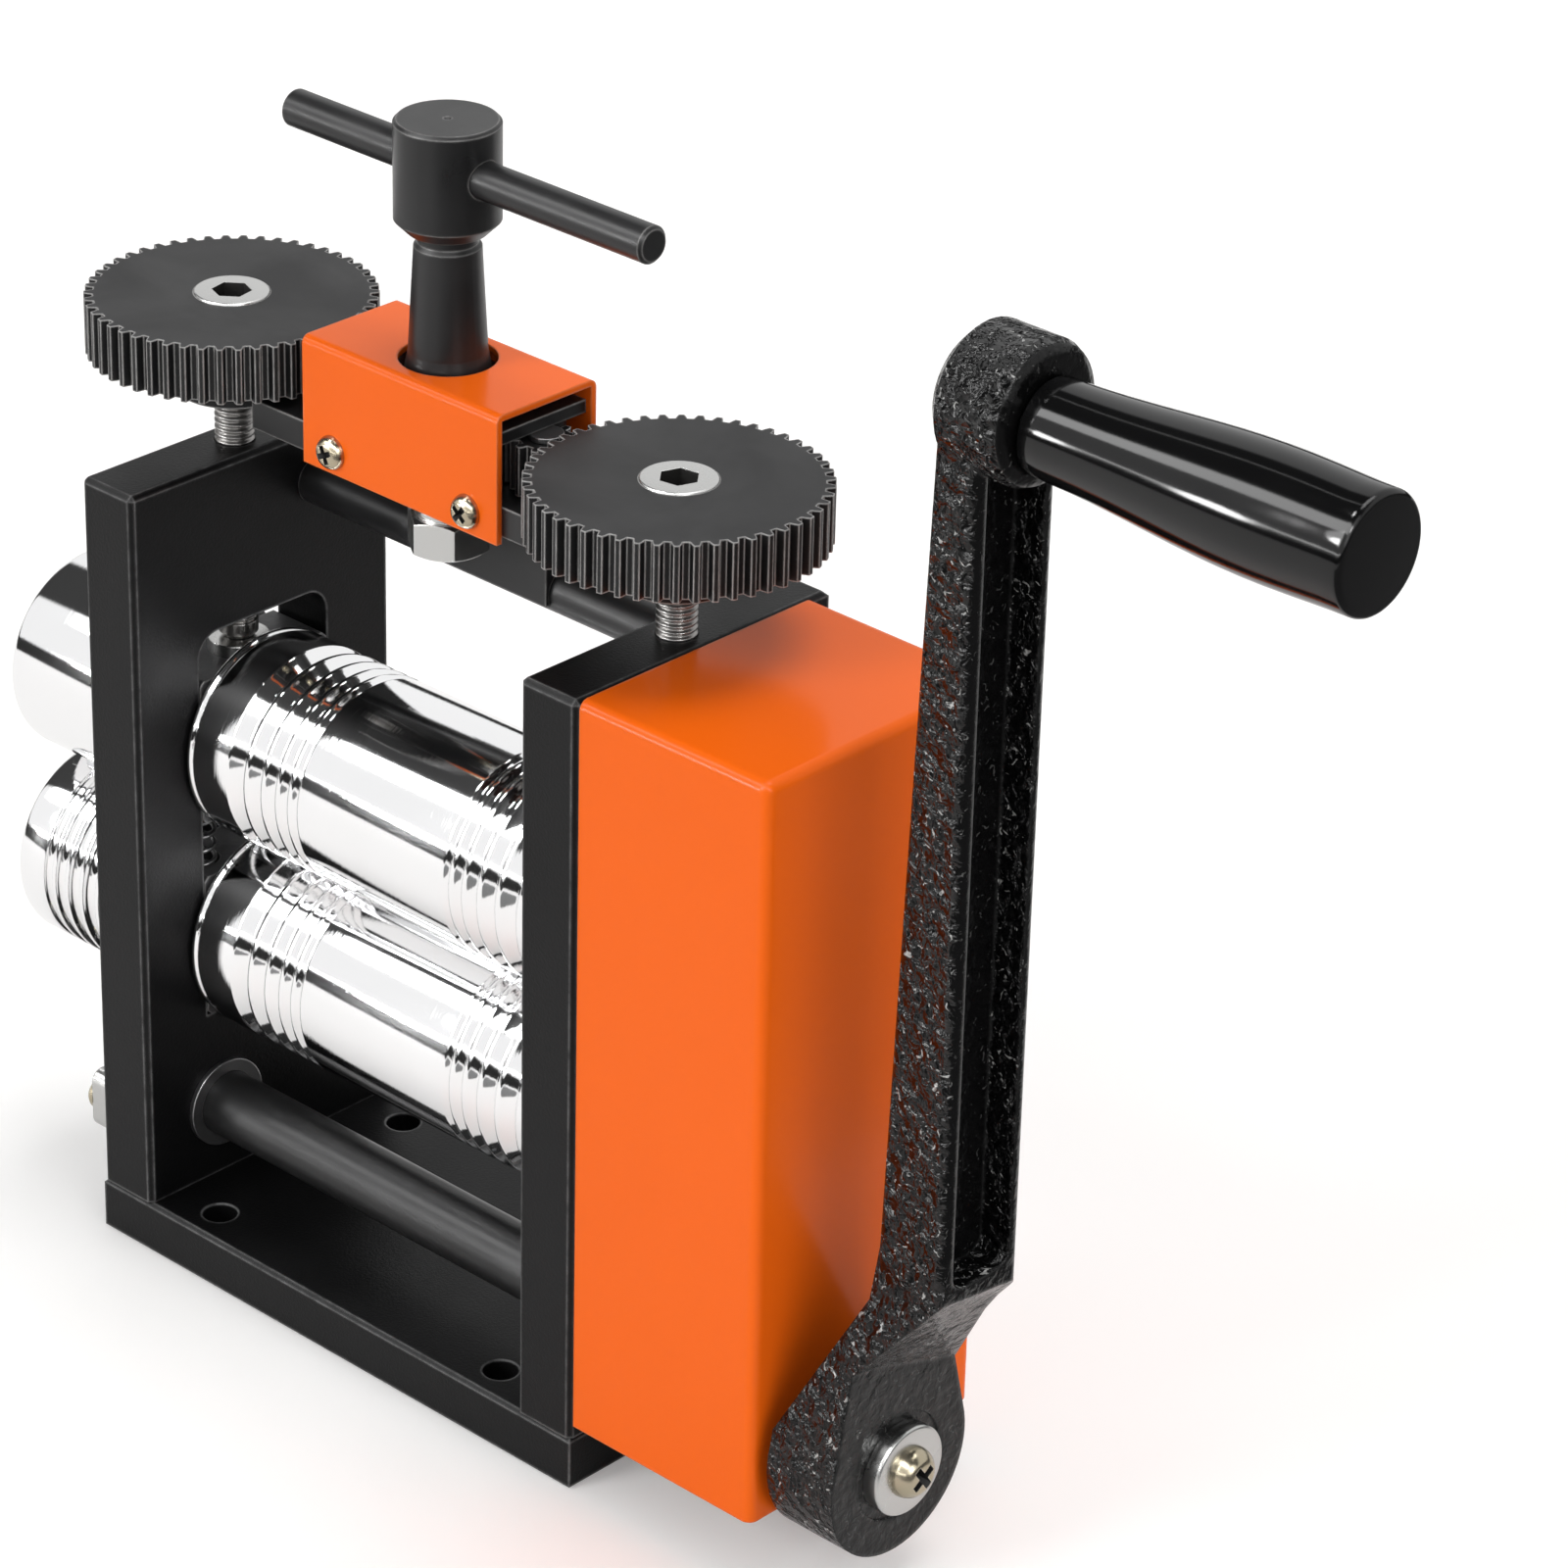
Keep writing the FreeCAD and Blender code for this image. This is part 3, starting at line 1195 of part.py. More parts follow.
save("crank_shaft", crank_shaft())
save("crank_pinion", crank_pinion())
save("crank_arm", crank_arm())
save("crank_washer", crank_washer())
save("crank_screw", crank_screw())
save("grip_spindle", grip_spindle())
save("grip", grip())

save("handle_spindle", handle_spindle())
save("handle_hub", handle_hub())
save("handle_bar", handle_bar())
save("handle_pinion", handle_pinion())
save("handle_nut", handle_nut())
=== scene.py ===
# %% [markdown]
# # A jeweller's rolling mill, dressed for a product picture
#
# The imported model already has every mechanical piece at its real size, so this lesson is about looks:
# paint, chrome, oxide and enamel made from nodes, a few pieces that deserve a finer mesh, and a small studio.
# We load the model first. The dressed model may not grow past it.

import json
import math

import bpy
from mathutils import Matrix, Vector


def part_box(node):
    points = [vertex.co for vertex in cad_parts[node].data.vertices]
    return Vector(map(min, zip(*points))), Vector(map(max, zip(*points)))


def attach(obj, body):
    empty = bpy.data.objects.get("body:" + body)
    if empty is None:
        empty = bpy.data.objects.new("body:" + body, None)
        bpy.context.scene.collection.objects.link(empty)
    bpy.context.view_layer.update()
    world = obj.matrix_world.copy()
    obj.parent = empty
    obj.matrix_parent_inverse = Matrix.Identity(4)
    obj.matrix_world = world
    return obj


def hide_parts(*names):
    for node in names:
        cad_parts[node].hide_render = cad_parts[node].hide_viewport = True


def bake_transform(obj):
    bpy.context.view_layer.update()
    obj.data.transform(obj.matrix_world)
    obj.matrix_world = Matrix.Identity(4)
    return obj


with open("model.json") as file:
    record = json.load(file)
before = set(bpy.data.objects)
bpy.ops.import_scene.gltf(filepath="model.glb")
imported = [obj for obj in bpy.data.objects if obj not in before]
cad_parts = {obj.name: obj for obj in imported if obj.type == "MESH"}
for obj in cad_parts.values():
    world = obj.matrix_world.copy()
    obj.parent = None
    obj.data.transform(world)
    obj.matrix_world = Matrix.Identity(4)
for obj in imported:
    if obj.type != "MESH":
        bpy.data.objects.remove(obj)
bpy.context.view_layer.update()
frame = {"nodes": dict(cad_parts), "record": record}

# %% [markdown]
# ## The camera
#
# The picture of such a tool is taken with a long lens, a little above the tool and to the right of it.
# A camera can be aimed with a constraint, but here we want an exact attitude: an azimuth, an elevation and a
# small roll. We build the three axes of the camera from those angles and put them in one matrix. The shift
# stays tiny, and only moves the picture by a few pixels.

# %% Camera
LENS_MM = 135.0
SENSOR_MM = 36.0
PICTURE_PIXELS = 1600
AZIMUTH = math.radians(-47.4885)
ELEVATION = math.radians(27.433)
ROLL = math.radians(1.527)
CAMERA_PLACE = Vector((0.554876, -0.533343, 0.489821))
OPTICAL_CENTRE = (795.29, 787.73)
NEAREST, FARTHEST = 0.05, 20


def camera_axes(azimuth, elevation, roll):
    """Right, up and back of a camera that looks down at the object."""
    back = Vector((math.cos(elevation) * math.cos(azimuth), math.cos(elevation) * math.sin(azimuth),
                   math.sin(elevation)))
    level = Vector((-math.sin(azimuth), math.cos(azimuth), 0))
    rise = back.cross(level)
    right = level * math.cos(roll) + rise * math.sin(roll)
    up = rise * math.cos(roll) - level * math.sin(roll)
    return right, up, back


right, up, back = camera_axes(AZIMUTH, ELEVATION, ROLL)
camera_data = bpy.data.cameras.new("bench camera")
camera_data.lens = LENS_MM
camera_data.sensor_width = SENSOR_MM
camera_data.clip_start = NEAREST
camera_data.clip_end = FARTHEST
camera_data.shift_x = (PICTURE_PIXELS / 2 - OPTICAL_CENTRE[0]) / PICTURE_PIXELS
camera_data.shift_y = (OPTICAL_CENTRE[1] - PICTURE_PIXELS / 2) / PICTURE_PIXELS
camera = bpy.data.objects.new("bench camera", camera_data)
camera.matrix_world = Matrix((
    (right.x, up.x, back.x, CAMERA_PLACE.x),
    (right.y, up.y, back.y, CAMERA_PLACE.y),
    (right.z, up.z, back.z, CAMERA_PLACE.z),
    (0, 0, 0, 1)))
bpy.context.scene.collection.objects.link(camera)
bpy.context.scene.camera = camera
print("camera right", [round(v, 4) for v in right], "up", [round(v, 4) for v in up])

# %% [markdown]
# ## Helpers for node trees
#
# Every material below is a small tree of nodes. It could be built by hand in the shader editor, but a script
# gives the same tree each time. Four helpers keep the cells short: they add a node, join two sockets, start a
# node group, and put in a Math node. The Mix node has one set of sockets for numbers and one for colours, and
# in a script those are told apart by their place.

# %% Node helpers
NUMBER_A, NUMBER_B, COLOUR_A, COLOUR_B = 2, 3, 6, 7


def add_node(tree, kind, inputs=None, **properties):
    """Add a node, set its properties, then its unlinked inputs by name or number."""
    node = tree.nodes.new(kind)
    for name, value in properties.items():
        setattr(node, name, value)
    for name, value in (inputs or {}).items():
        node.inputs[name].default_value = value
    return node


def join(tree, out_socket, in_socket):
    tree.links.new(out_socket, in_socket)


def new_group(name, inputs, outputs):
    """A shader node group with named sockets; gives the tree and its two end nodes."""
    tree = bpy.data.node_groups.new(name, "ShaderNodeTree")
    for label, value in inputs:
        socket = tree.interface.new_socket(label, in_out="INPUT", socket_type="NodeSocketFloat")
        socket.default_value = value
    for label, kind in outputs:
        tree.interface.new_socket(label, in_out="OUTPUT", socket_type=kind)
    return tree, tree.nodes.new("NodeGroupInput"), tree.nodes.new("NodeGroupOutput")


def math_node(tree, operation, first, second=None, clamp=False):
    """A Math node whose inputs are sockets or numbers; gives its output socket."""
    node = add_node(tree, "ShaderNodeMath", operation=operation, use_clamp=clamp)
    for slot_number, value in enumerate((first, second)):
        if value is None:
            continue
        if isinstance(value, (int, float)):
            node.inputs[slot_number].default_value = value
        else:
            join(tree, value, node.inputs[slot_number])
    return node.outputs[0]


# %% [markdown]
# ## Edge wear and painted edge highlights, shared by every metal and paint
#
# Real edges are never razor sharp. Paint is thin there and the steel shines through as a bright line. Every
# edge could be bevelled as geometry, but gear teeth and threads have thousands. The Bevel node gives the normal
# that a rounded edge would have. Where it turns away from the flat normal we are at an edge, so one minus their
# dot product is a mask. Under it a lighter colour is mixed in: partly wear, and partly a painted edge highlight,
# since on the enamel and the chrome it is a paler tone of the same colour. The rounded normal itself goes to the
# shader, and makes the thin highlights that run along plates and gear teeth.

# %% Edge wear and painted highlight group
EDGE_GAIN = 9.0
BARE_PATCH_START, BARE_PATCH_GAIN = 0.35, 5.0
edge_wear_and_highlight, start, end = new_group(
    "edge wear and highlight", [("Radius", 0.0005), ("Amount", 1.0), ("Patchiness", 0.5)],
    [("Mask", "NodeSocketFloat"), ("Normal", "NodeSocketVector")])
rounded = add_node(edge_wear_and_highlight, "ShaderNodeBevel", samples=6)
flat = add_node(edge_wear_and_highlight, "ShaderNodeNewGeometry")
facing = add_node(edge_wear_and_highlight, "ShaderNodeVectorMath", operation="DOT_PRODUCT")
place = add_node(edge_wear_and_highlight, "ShaderNodeTexCoord")
patches = add_node(edge_wear_and_highlight, "ShaderNodeTexNoise", {"Scale": 420.0, "Detail": 3.0, "Roughness": 0.6})
join(edge_wear_and_highlight, start.outputs["Radius"], rounded.inputs["Radius"])
join(edge_wear_and_highlight, rounded.outputs["Normal"], facing.inputs[0])
join(edge_wear_and_highlight, flat.outputs["Normal"], facing.inputs[1])
join(edge_wear_and_highlight, place.outputs["Object"], patches.inputs["Vector"])
turned_away = math_node(edge_wear_and_highlight, "SUBTRACT", 1.0, facing.outputs["Value"])
sharp_line = math_node(edge_wear_and_highlight, "MULTIPLY", turned_away, EDGE_GAIN, clamp=True)
holes = math_node(edge_wear_and_highlight, "SUBTRACT", patches.outputs["Fac"], BARE_PATCH_START)
holes = math_node(edge_wear_and_highlight, "MULTIPLY", holes, start.outputs["Patchiness"])
holes = math_node(edge_wear_and_highlight, "MULTIPLY", holes, BARE_PATCH_GAIN)
kept = math_node(edge_wear_and_highlight, "SUBTRACT", 1.0, holes, clamp=True)
# The edge mask: where it is high, a lighter colour is mixed in, partly wear and partly painted edge highlight.
worn = math_node(edge_wear_and_highlight, "MULTIPLY", sharp_line, kept)
worn = math_node(edge_wear_and_highlight, "MULTIPLY", worn, start.outputs["Amount"], clamp=True)
join(edge_wear_and_highlight, worn, end.inputs["Mask"])
join(edge_wear_and_highlight, rounded.outputs["Normal"], end.inputs["Normal"])
print(edge_wear_and_highlight.name, "nodes:", len(edge_wear_and_highlight.nodes))

# %% [markdown]
# ## Surface grain and handling marks
#
# No workshop tool is evenly glossy. A picture of a worn surface could be laid over it, but noise needs no
# unwrapping and has no seams. A fine grain gives the height for a bump, and a slow, wide noise says where fingers
# and oil have been. The group gives both, so paint, oxide and machined steel can each use them with their own
# sizes.

# %% Grain and handling group
surface_grain, start, end = new_group(
    "surface grain", [("Grain", 2500.0), ("Cloud", 60.0)],
    [("Height", "NodeSocketFloat"), ("Cloud", "NodeSocketFloat")])
place = add_node(surface_grain, "ShaderNodeTexCoord")
fine = add_node(surface_grain, "ShaderNodeTexNoise", {"Detail": 4.0, "Roughness": 0.65})
wide = add_node(surface_grain, "ShaderNodeTexNoise", {"Detail": 5.0, "Roughness": 0.55, "Distortion": 0.4})
join(surface_grain, place.outputs["Object"], fine.inputs["Vector"])
join(surface_grain, place.outputs["Object"], wide.inputs["Vector"])
join(surface_grain, start.outputs["Grain"], fine.inputs["Scale"])
join(surface_grain, start.outputs["Cloud"], wide.inputs["Scale"])
join(surface_grain, fine.outputs["Fac"], end.inputs["Height"])
join(surface_grain, wide.outputs["Fac"], end.inputs["Cloud"])
print(surface_grain.name, "nodes:", len(surface_grain.nodes))

# %% [markdown]
# ## Turning marks
#
# Rollers and shafts are made on a lathe, and the tool leaves faint rings round the axis. A wave texture could
# draw them, but its rings are too even. Noise that only changes with the place along X gives rings of uneven
# depth.

# %% Turning marks group
turning_marks, start, end = new_group(
    "turning marks", [("Rings", 3000.0)], [("Height", "NodeSocketFloat")])
place = add_node(turning_marks, "ShaderNodeTexCoord")
along = add_node(turning_marks, "ShaderNodeSeparateXYZ")
spread = add_node(turning_marks, "ShaderNodeCombineXYZ")
rings = add_node(turning_marks, "ShaderNodeTexNoise", {"Detail": 3.0, "Roughness": 0.7})
join(turning_marks, place.outputs["Object"], along.inputs[0])
join(turning_marks, along.outputs["X"], spread.inputs["X"])
join(turning_marks, spread.outputs[0], rings.inputs["Vector"])
join(turning_marks, start.outputs["Rings"], rings.inputs["Scale"])
join(turning_marks, rings.outputs["Fac"], end.inputs["Height"])
print("node groups:", [g.name for g in bpy.data.node_groups])

# %% [markdown]
# ## One recipe, many finishes
#
# The finishes of this mill differ in colour, gloss, metal and wear, and share the same steps. The recipe below
# puts the groups in a material, mixes the lighter edge colour over the base by the edge mask, partly as wear and
# partly as a painted edge highlight, and lets the roughness wander a little. The shader itself could be in a
# group too, but it stays in the material, where exporters find it, and numbers that are the same all over are
# set on the shader's own sockets.

# %% The finish recipe
COAT_ROUGHNESS = 0.05
GRAIN_DEPTH = 0.0004
CLOUD_LOW, CLOUD_HIGH = 0.3, 0.7
GLOSS_SPREAD = 0.2


def finish(name, colour, worn_and_highlight_colour, roughness, metallic=0.0, edge=0.0005, wear=0.6, patchiness=0.5,
           grain=2500.0, bump=0.04, cloud=60.0, cloud_tint=0.25, coat=0.0, specular=0.5, rings=0.0,
           ring_depth=0.0):
    """Paint, oxide or metal with wandering gloss, grain, and bright edges that are partly wear and partly painted
    highlight.
    """
    material = bpy.data.materials.new(name)
    material.use_nodes = True
    tree = material.node_tree
    shader = tree.nodes["Principled BSDF"]
    shader.inputs["Metallic"].default_value = metallic
    shader.inputs["Specular IOR Level"].default_value = specular
    shader.inputs["Coat Weight"].default_value = coat
    shader.inputs["Coat Roughness"].default_value = COAT_ROUGHNESS
    worn_and_highlit_edges = add_node(tree, "ShaderNodeGroup", node_tree=edge_wear_and_highlight)
    worn_and_highlit_edges.inputs["Radius"].default_value = edge
    worn_and_highlit_edges.inputs["Amount"].default_value = wear
    worn_and_highlit_edges.inputs["Patchiness"].default_value = patchiness
    surface = add_node(tree, "ShaderNodeGroup", node_tree=surface_grain)
    surface.inputs["Grain"].default_value = grain
    surface.inputs["Cloud"].default_value = cloud
    darker = tuple(c * (1 - cloud_tint) for c in colour) + (1,)
    lighter = tuple(min(1, c * (1 + cloud_tint)) for c in colour) + (1,)
    shade = add_node(tree, "ShaderNodeMix", data_type="RGBA")
    shade.inputs[COLOUR_A].default_value = darker
    shade.inputs[COLOUR_B].default_value = lighter
    join(tree, surface.outputs["Cloud"], shade.inputs[0])
    # Lighter colour along the edges: partly wear, partly a painted edge highlight.
    over = add_node(tree, "ShaderNodeMix", data_type="RGBA")
    over.inputs[COLOUR_B].default_value = tuple(worn_and_highlight_colour) + (1,)
    join(tree, shade.outputs[2], over.inputs[COLOUR_A])
    join(tree, worn_and_highlit_edges.outputs["Mask"], over.inputs[0])
    join(tree, over.outputs[2], shader.inputs["Base Color"])
    gloss = add_node(tree, "ShaderNodeMapRange",
                     {"From Min": CLOUD_LOW, "From Max": CLOUD_HIGH, "To Min": roughness * (1 - GLOSS_SPREAD),
                      "To Max": roughness * (1 + GLOSS_SPREAD)})
    join(tree, surface.outputs["Cloud"], gloss.inputs["Value"])
    join(tree, gloss.outputs[0], shader.inputs["Roughness"])
    relief = add_node(tree, "ShaderNodeBump", {"Strength": bump, "Distance": GRAIN_DEPTH})
    join(tree, surface.outputs["Height"], relief.inputs["Height"])
    join(tree, worn_and_highlit_edges.outputs["Normal"], relief.inputs["Normal"])
    join(tree, relief.outputs["Normal"], shader.inputs["Normal"])
    if rings:
        turning = add_node(tree, "ShaderNodeGroup", node_tree=turning_marks)
        turning.inputs["Rings"].default_value = rings
        ridges = add_node(tree, "ShaderNodeBump", {"Strength": 1.0, "Distance": ring_depth})
        join(tree, turning.outputs["Height"], ridges.inputs["Height"])
        join(tree, relief.outputs["Normal"], ridges.inputs["Normal"])
        join(tree, ridges.outputs["Normal"], shader.inputs["Normal"])
    return material


# %% [markdown]
# ## The finishes of the mill
#
# The frame has a satin black paint with a faint powder texture. The T-handle, the bridge and the gears are
# blackened steel: duller than bare metal, with a soft sheen and bright edges, partly worn and partly a painted
# highlight. Both covers have a deep orange stove enamel. Each could have a tree of its own, but one recipe with
# different numbers keeps them a family.

# %% Painted and blackened finishes
BARE_STEEL = (0.42, 0.41, 0.40)
finishes = {}
finishes["black_paint"] = finish(
    "satin black frame paint", (0.004, 0.004, 0.0043), (0.30, 0.30, 0.30), 0.36, specular=0.14,
    edge=0.0007, wear=0.7, patchiness=0.35, grain=2200, bump=0.16, cloud=38)
finishes["black_steel"] = finish(
    "blackened steel", (0.010, 0.010, 0.0105), BARE_STEEL, 0.34, specular=0.35,
    edge=0.0005, wear=0.7, patchiness=0.3, grain=3200, bump=0.05, cloud=70)
finishes["gear_black"] = finish(
    "blackened gear steel", (0.009, 0.009, 0.0095), (0.55, 0.54, 0.53), 0.42, specular=0.24,
    edge=0.0004, wear=1.0, patchiness=0.2, grain=3500, bump=0.05)
finishes["orange_enamel"] = finish(
    "orange stove enamel", (0.88, 0.130, 0.005), (0.96, 0.36, 0.16), 0.22, specular=0.12,
    edge=0.0006, wear=0.35, patchiness=0.1, grain=700, bump=0.035, cloud=25, cloud_tint=0.03, coat=0.03)
finishes["cast_blocks"] = finish(
    "cast iron blocks", (0.07, 0.07, 0.072), BARE_STEEL, 0.5, metallic=0.5,
    edge=0.0005, wear=0.4, grain=900, bump=0.25)
print("painted and blackened:", list(finishes))

# %% [markdown]
# ## Bare and plated metals, and the grip
#
# Rollers are ground, polished and plated, so they are nearly mirrors with the faintest turning rings. The crank
# shaft is dark from oil. Small fasteners are zinc plated, some of them with a yellow passivation. The grip is
# hard black plastic, glossier than any paint on the mill.

# %% Metal and plastic finishes
finishes["roller_steel"] = finish(
    "polished plated steel", (0.88, 0.88, 0.885), (0.95, 0.95, 0.95), 0.06, metallic=1.0,
    edge=0.0003, wear=0.5, grain=1500, bump=0.004, cloud_tint=0.02, rings=2600, ring_depth=0.000012)
finishes["shaft_steel"] = finish(
    "dark turned shaft", (0.018, 0.018, 0.0185), BARE_STEEL, 0.34, metallic=0.3, specular=0.4,
    edge=0.0004, wear=0.5, grain=2600, bump=0.05, rings=2200, ring_depth=0.00002)
finishes["screw_steel"] = finish(
    "oiled thread steel", (0.30, 0.29, 0.28), (0.7, 0.7, 0.7), 0.32, metallic=1.0, edge=0.0002, wear=0.6)
finishes["zinc_steel"] = finish(
    "bright zinc plate", (0.52, 0.52, 0.51), (0.85, 0.85, 0.84), 0.26, metallic=1.0,
    edge=0.0003, wear=0.5, grain=3000, bump=0.03, cloud_tint=0.06)
finishes["yellow_zinc"] = finish(
    "yellow zinc plate", (0.42, 0.37, 0.27), (0.80, 0.76, 0.66), 0.22, metallic=1.0,
    edge=0.00025, wear=0.5, grain=3000, bump=0.03, cloud_tint=0.12)
finishes["dark_steel"] = finish(
    "machined dark steel", (0.17, 0.17, 0.172), (0.6, 0.6, 0.6), 0.34, metallic=0.9,
    edge=0.0003, wear=0.7, grain=2600, bump=0.06)
finishes["grip_plastic"] = finish(
    "gloss black grip", (0.004, 0.004, 0.0042), (0.03, 0.03, 0.03), 0.09, specular=0.34,
    edge=0.0005, wear=0.2, grain=500, bump=0.01, cloud_tint=0.1)
print("all finishes so far:", len(finishes))

# %% [markdown]
# ## Hammered paint on the crank
#
# The casting has a wrinkled, hammered black paint: its narrow faces and the boss are full of small shiny hills,
# while the wide outer face is nearly smooth. Such hills could be displaced geometry, but they are a fraction of
# a millimetre high, so a bump is enough. Rounded cells give the hammer marks and a soft noise the wrinkles. The
# sparks of light on the sharpest hills are painted highlights: a third noise picks small spots, and pale grey is
# painted into the colour there. The true normal tells the outer face from the others, so the relief and the
# painted glints fade there.

# %% Crank paint
HAMMER_CELLS, HAMMER_SHARE = 430.0, 0.8
HAMMER_DEPTH = 0.0016
# Pale grey painted into the colour as glints: painted highlights on the hammered paint.
PAINTED_GLINT_GREY = (0.42, 0.42, 0.41, 1)
GLINT_START, GLINT_FULL = 0.635, 0.685
OUTER_FACE_START, OUTER_FACE_FULL, OUTER_FACE_RELIEF = 0.45, 0.9, 0.12
crank_paint = finish("hammered crank paint", (0.003, 0.003, 0.0031), (0.16, 0.16, 0.16), 0.14, specular=0.24,
                     edge=0.0010, wear=0.10, grain=1800, bump=0.1, cloud=120)
tree = crank_paint.node_tree
shader = tree.nodes["Principled BSDF"]
paint_colour = shader.inputs["Base Color"].links[0].from_socket
paint_normal = shader.inputs["Normal"].links[0].from_socket
place = add_node(tree, "ShaderNodeTexCoord")
dents = add_node(tree, "ShaderNodeTexVoronoi", {"Scale": HAMMER_CELLS, "Randomness": 1.0}, feature="SMOOTH_F1")
wrinkles = add_node(tree, "ShaderNodeTexNoise",
                    {"Scale": 640.0, "Detail": 2.0, "Roughness": 0.5, "Distortion": 0.4})
glint_spot_noise = add_node(tree, "ShaderNodeTexNoise",
                  {"Scale": 760.0, "Detail": 2.5, "Roughness": 0.6, "Distortion": 1.1})
for texture in (dents, wrinkles, glint_spot_noise):
    join(tree, place.outputs["Object"], texture.inputs["Vector"])
print("hammer marks are about", round(1000 / HAMMER_CELLS, 1), "mm wide")

# %% Narrow faces of the crank
flat = add_node(tree, "ShaderNodeNewGeometry")
side = add_node(tree, "ShaderNodeSeparateXYZ")
join(tree, flat.outputs["Normal"], side.inputs[0])
narrow_faces = add_node(tree, "ShaderNodeMapRange", {"From Min": OUTER_FACE_START, "From Max": OUTER_FACE_FULL,
                                                     "To Min": 1.0, "To Max": OUTER_FACE_RELIEF})
join(tree, side.outputs["X"], narrow_faces.inputs["Value"])
print("relief left on the outer face:", OUTER_FACE_RELIEF)

# %% Relief and painted glints of the crank
relief_height = math_node(tree, "MULTIPLY", dents.outputs["Distance"], HAMMER_SHARE)
relief_height = math_node(tree, "ADD", relief_height, wrinkles.outputs["Fac"])
relief_height = math_node(tree, "MULTIPLY", relief_height, narrow_faces.outputs[0])
hammer = add_node(tree, "ShaderNodeBump", {"Strength": 1.0, "Distance": HAMMER_DEPTH})
join(tree, relief_height, hammer.inputs["Height"])
join(tree, paint_normal, hammer.inputs["Normal"])
join(tree, hammer.outputs["Normal"], shader.inputs["Normal"])
# Painted highlights: where the third noise peaks on the narrow faces, pale grey is mixed into the paint's colour
# as glints.
painted_glint_mask = add_node(tree, "ShaderNodeMapRange", {"From Min": GLINT_START, "From Max": GLINT_FULL})
join(tree, glint_spot_noise.outputs["Fac"], painted_glint_mask.inputs["Value"])
painted_glints = add_node(tree, "ShaderNodeMix", data_type="RGBA")
painted_glints.inputs[COLOUR_B].default_value = PAINTED_GLINT_GREY
join(tree, math_node(tree, "MULTIPLY", painted_glint_mask.outputs[0], narrow_faces.outputs[0]), painted_glints.inputs[0])
join(tree, paint_colour, painted_glints.inputs[COLOUR_A])
join(tree, painted_glints.outputs[2], shader.inputs["Base Color"])
finishes["crank_paint"] = crank_paint
print("crank paint nodes:", len(tree.nodes))

# %% [markdown]
# ## Giving every node its finish
#
# On the real mill each piece is painted or plated before it is fitted. The record says which slot each node
# takes its finish from. We could name the nodes one by one, but reading that list means no piece is forgotten.

# %% Assign the finishes
node_slots = {part["node"]: part["material_slot"] for part in frame["record"]["subparts"]}
for node_name, node_object in frame["nodes"].items():
    node_object.data.materials.clear()
    node_object.data.materials.append(finishes[node_slots[node_name]])
for slot_name in finishes:
    print(slot_name, sum(1 for value in node_slots.values() if value == slot_name))

# %% [markdown]
# ## Pieces that come off a lathe
#
# Rollers, grip and screw heads are turned, and polished chrome shows every facet of a coarse mesh as a broken
# reflection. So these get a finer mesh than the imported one. A lathe piece could be a stack of cylinders, but
# drawing half of its outline and spinning it is what the turner does: we put down one vertex, extrude it from
# corner to corner, round the chosen corners with a vertex bevel, and spin the line round the axis. Touching
# points are merged before the normals are made to face out.

# %% Picking corners
import bmesh

MM = 0.001
SAME_PLACE = 2e-6


def pick(piece, wanted):
    """In edit mode: select just the vertices whose place is wanted, and give their number."""
    shape = bmesh.from_edit_mesh(piece.data)
    for edge in list(shape.faces) + list(shape.edges):
        edge.select = False
    count = 0
    for vertex in shape.verts:
        vertex.select = bool(wanted(vertex.co))
        count += vertex.select
    shape.select_flush(True)
    bmesh.update_edit_mesh(piece.data)
    return count


def near(corners, axis_z):
    """A test for places that lie on one of the outline's corners, given as (x, radius)."""
    return lambda place: any(abs(place.x - x) < SAME_PLACE and abs(place.z - axis_z - radius) < SAME_PLACE
                             for x, radius in corners)


# %% The lathe
DOT = 0.0001
MERGE_DISTANCE = 1e-6
SMOOTH_DEGREES = 35


def turned(name, outline, axis=(0.0, 0.0), rounded=(), steps=128, ring=False, smooth=SMOOTH_DEGREES):
    """A turned piece along X. outline holds (x, radius); rounded holds (size, segments, corners)."""
    axis_y, axis_z = axis
    bpy.ops.object.select_all(action="DESELECT")
    x, radius = outline[0]
    bpy.ops.mesh.primitive_plane_add(size=DOT, location=(x, axis_y, axis_z + radius))
    piece = bpy.context.object
    piece.name = piece.data.name = name
    bpy.ops.object.transform_apply(location=True, rotation=True, scale=True)
    bpy.ops.object.mode_set(mode="EDIT")
    bpy.ops.mesh.select_mode(type="VERT")
    bpy.ops.mesh.select_all(action="SELECT")
    bpy.ops.mesh.merge(type="CENTER")
    for (x0, r0), (x1, r1) in zip(outline, outline[1:]):
        bpy.ops.mesh.extrude_vertices_move(TRANSFORM_OT_translate={"value": (x1 - x0, 0, r1 - r0)})
    if ring:
        pick(piece, near([outline[0], outline[-1]], axis_z))
        bpy.ops.mesh.edge_face_add()
    for size, segments, corners in rounded:
        pick(piece, near(corners, axis_z))
        bpy.ops.mesh.bevel(offset=size, segments=segments, affect="VERTICES")
    bpy.ops.mesh.select_all(action="SELECT")
    bpy.ops.mesh.spin(steps=steps, angle=math.tau, center=(0, axis_y, axis_z), axis=(1, 0, 0))
    bpy.ops.mesh.select_all(action="SELECT")
    bpy.ops.mesh.remove_doubles(threshold=MERGE_DISTANCE)
    bpy.ops.mesh.normals_make_consistent(inside=False)
    bpy.ops.object.mode_set(mode="OBJECT")
    bpy.ops.object.shade_smooth_by_angle(angle=math.radians(smooth))
    return piece


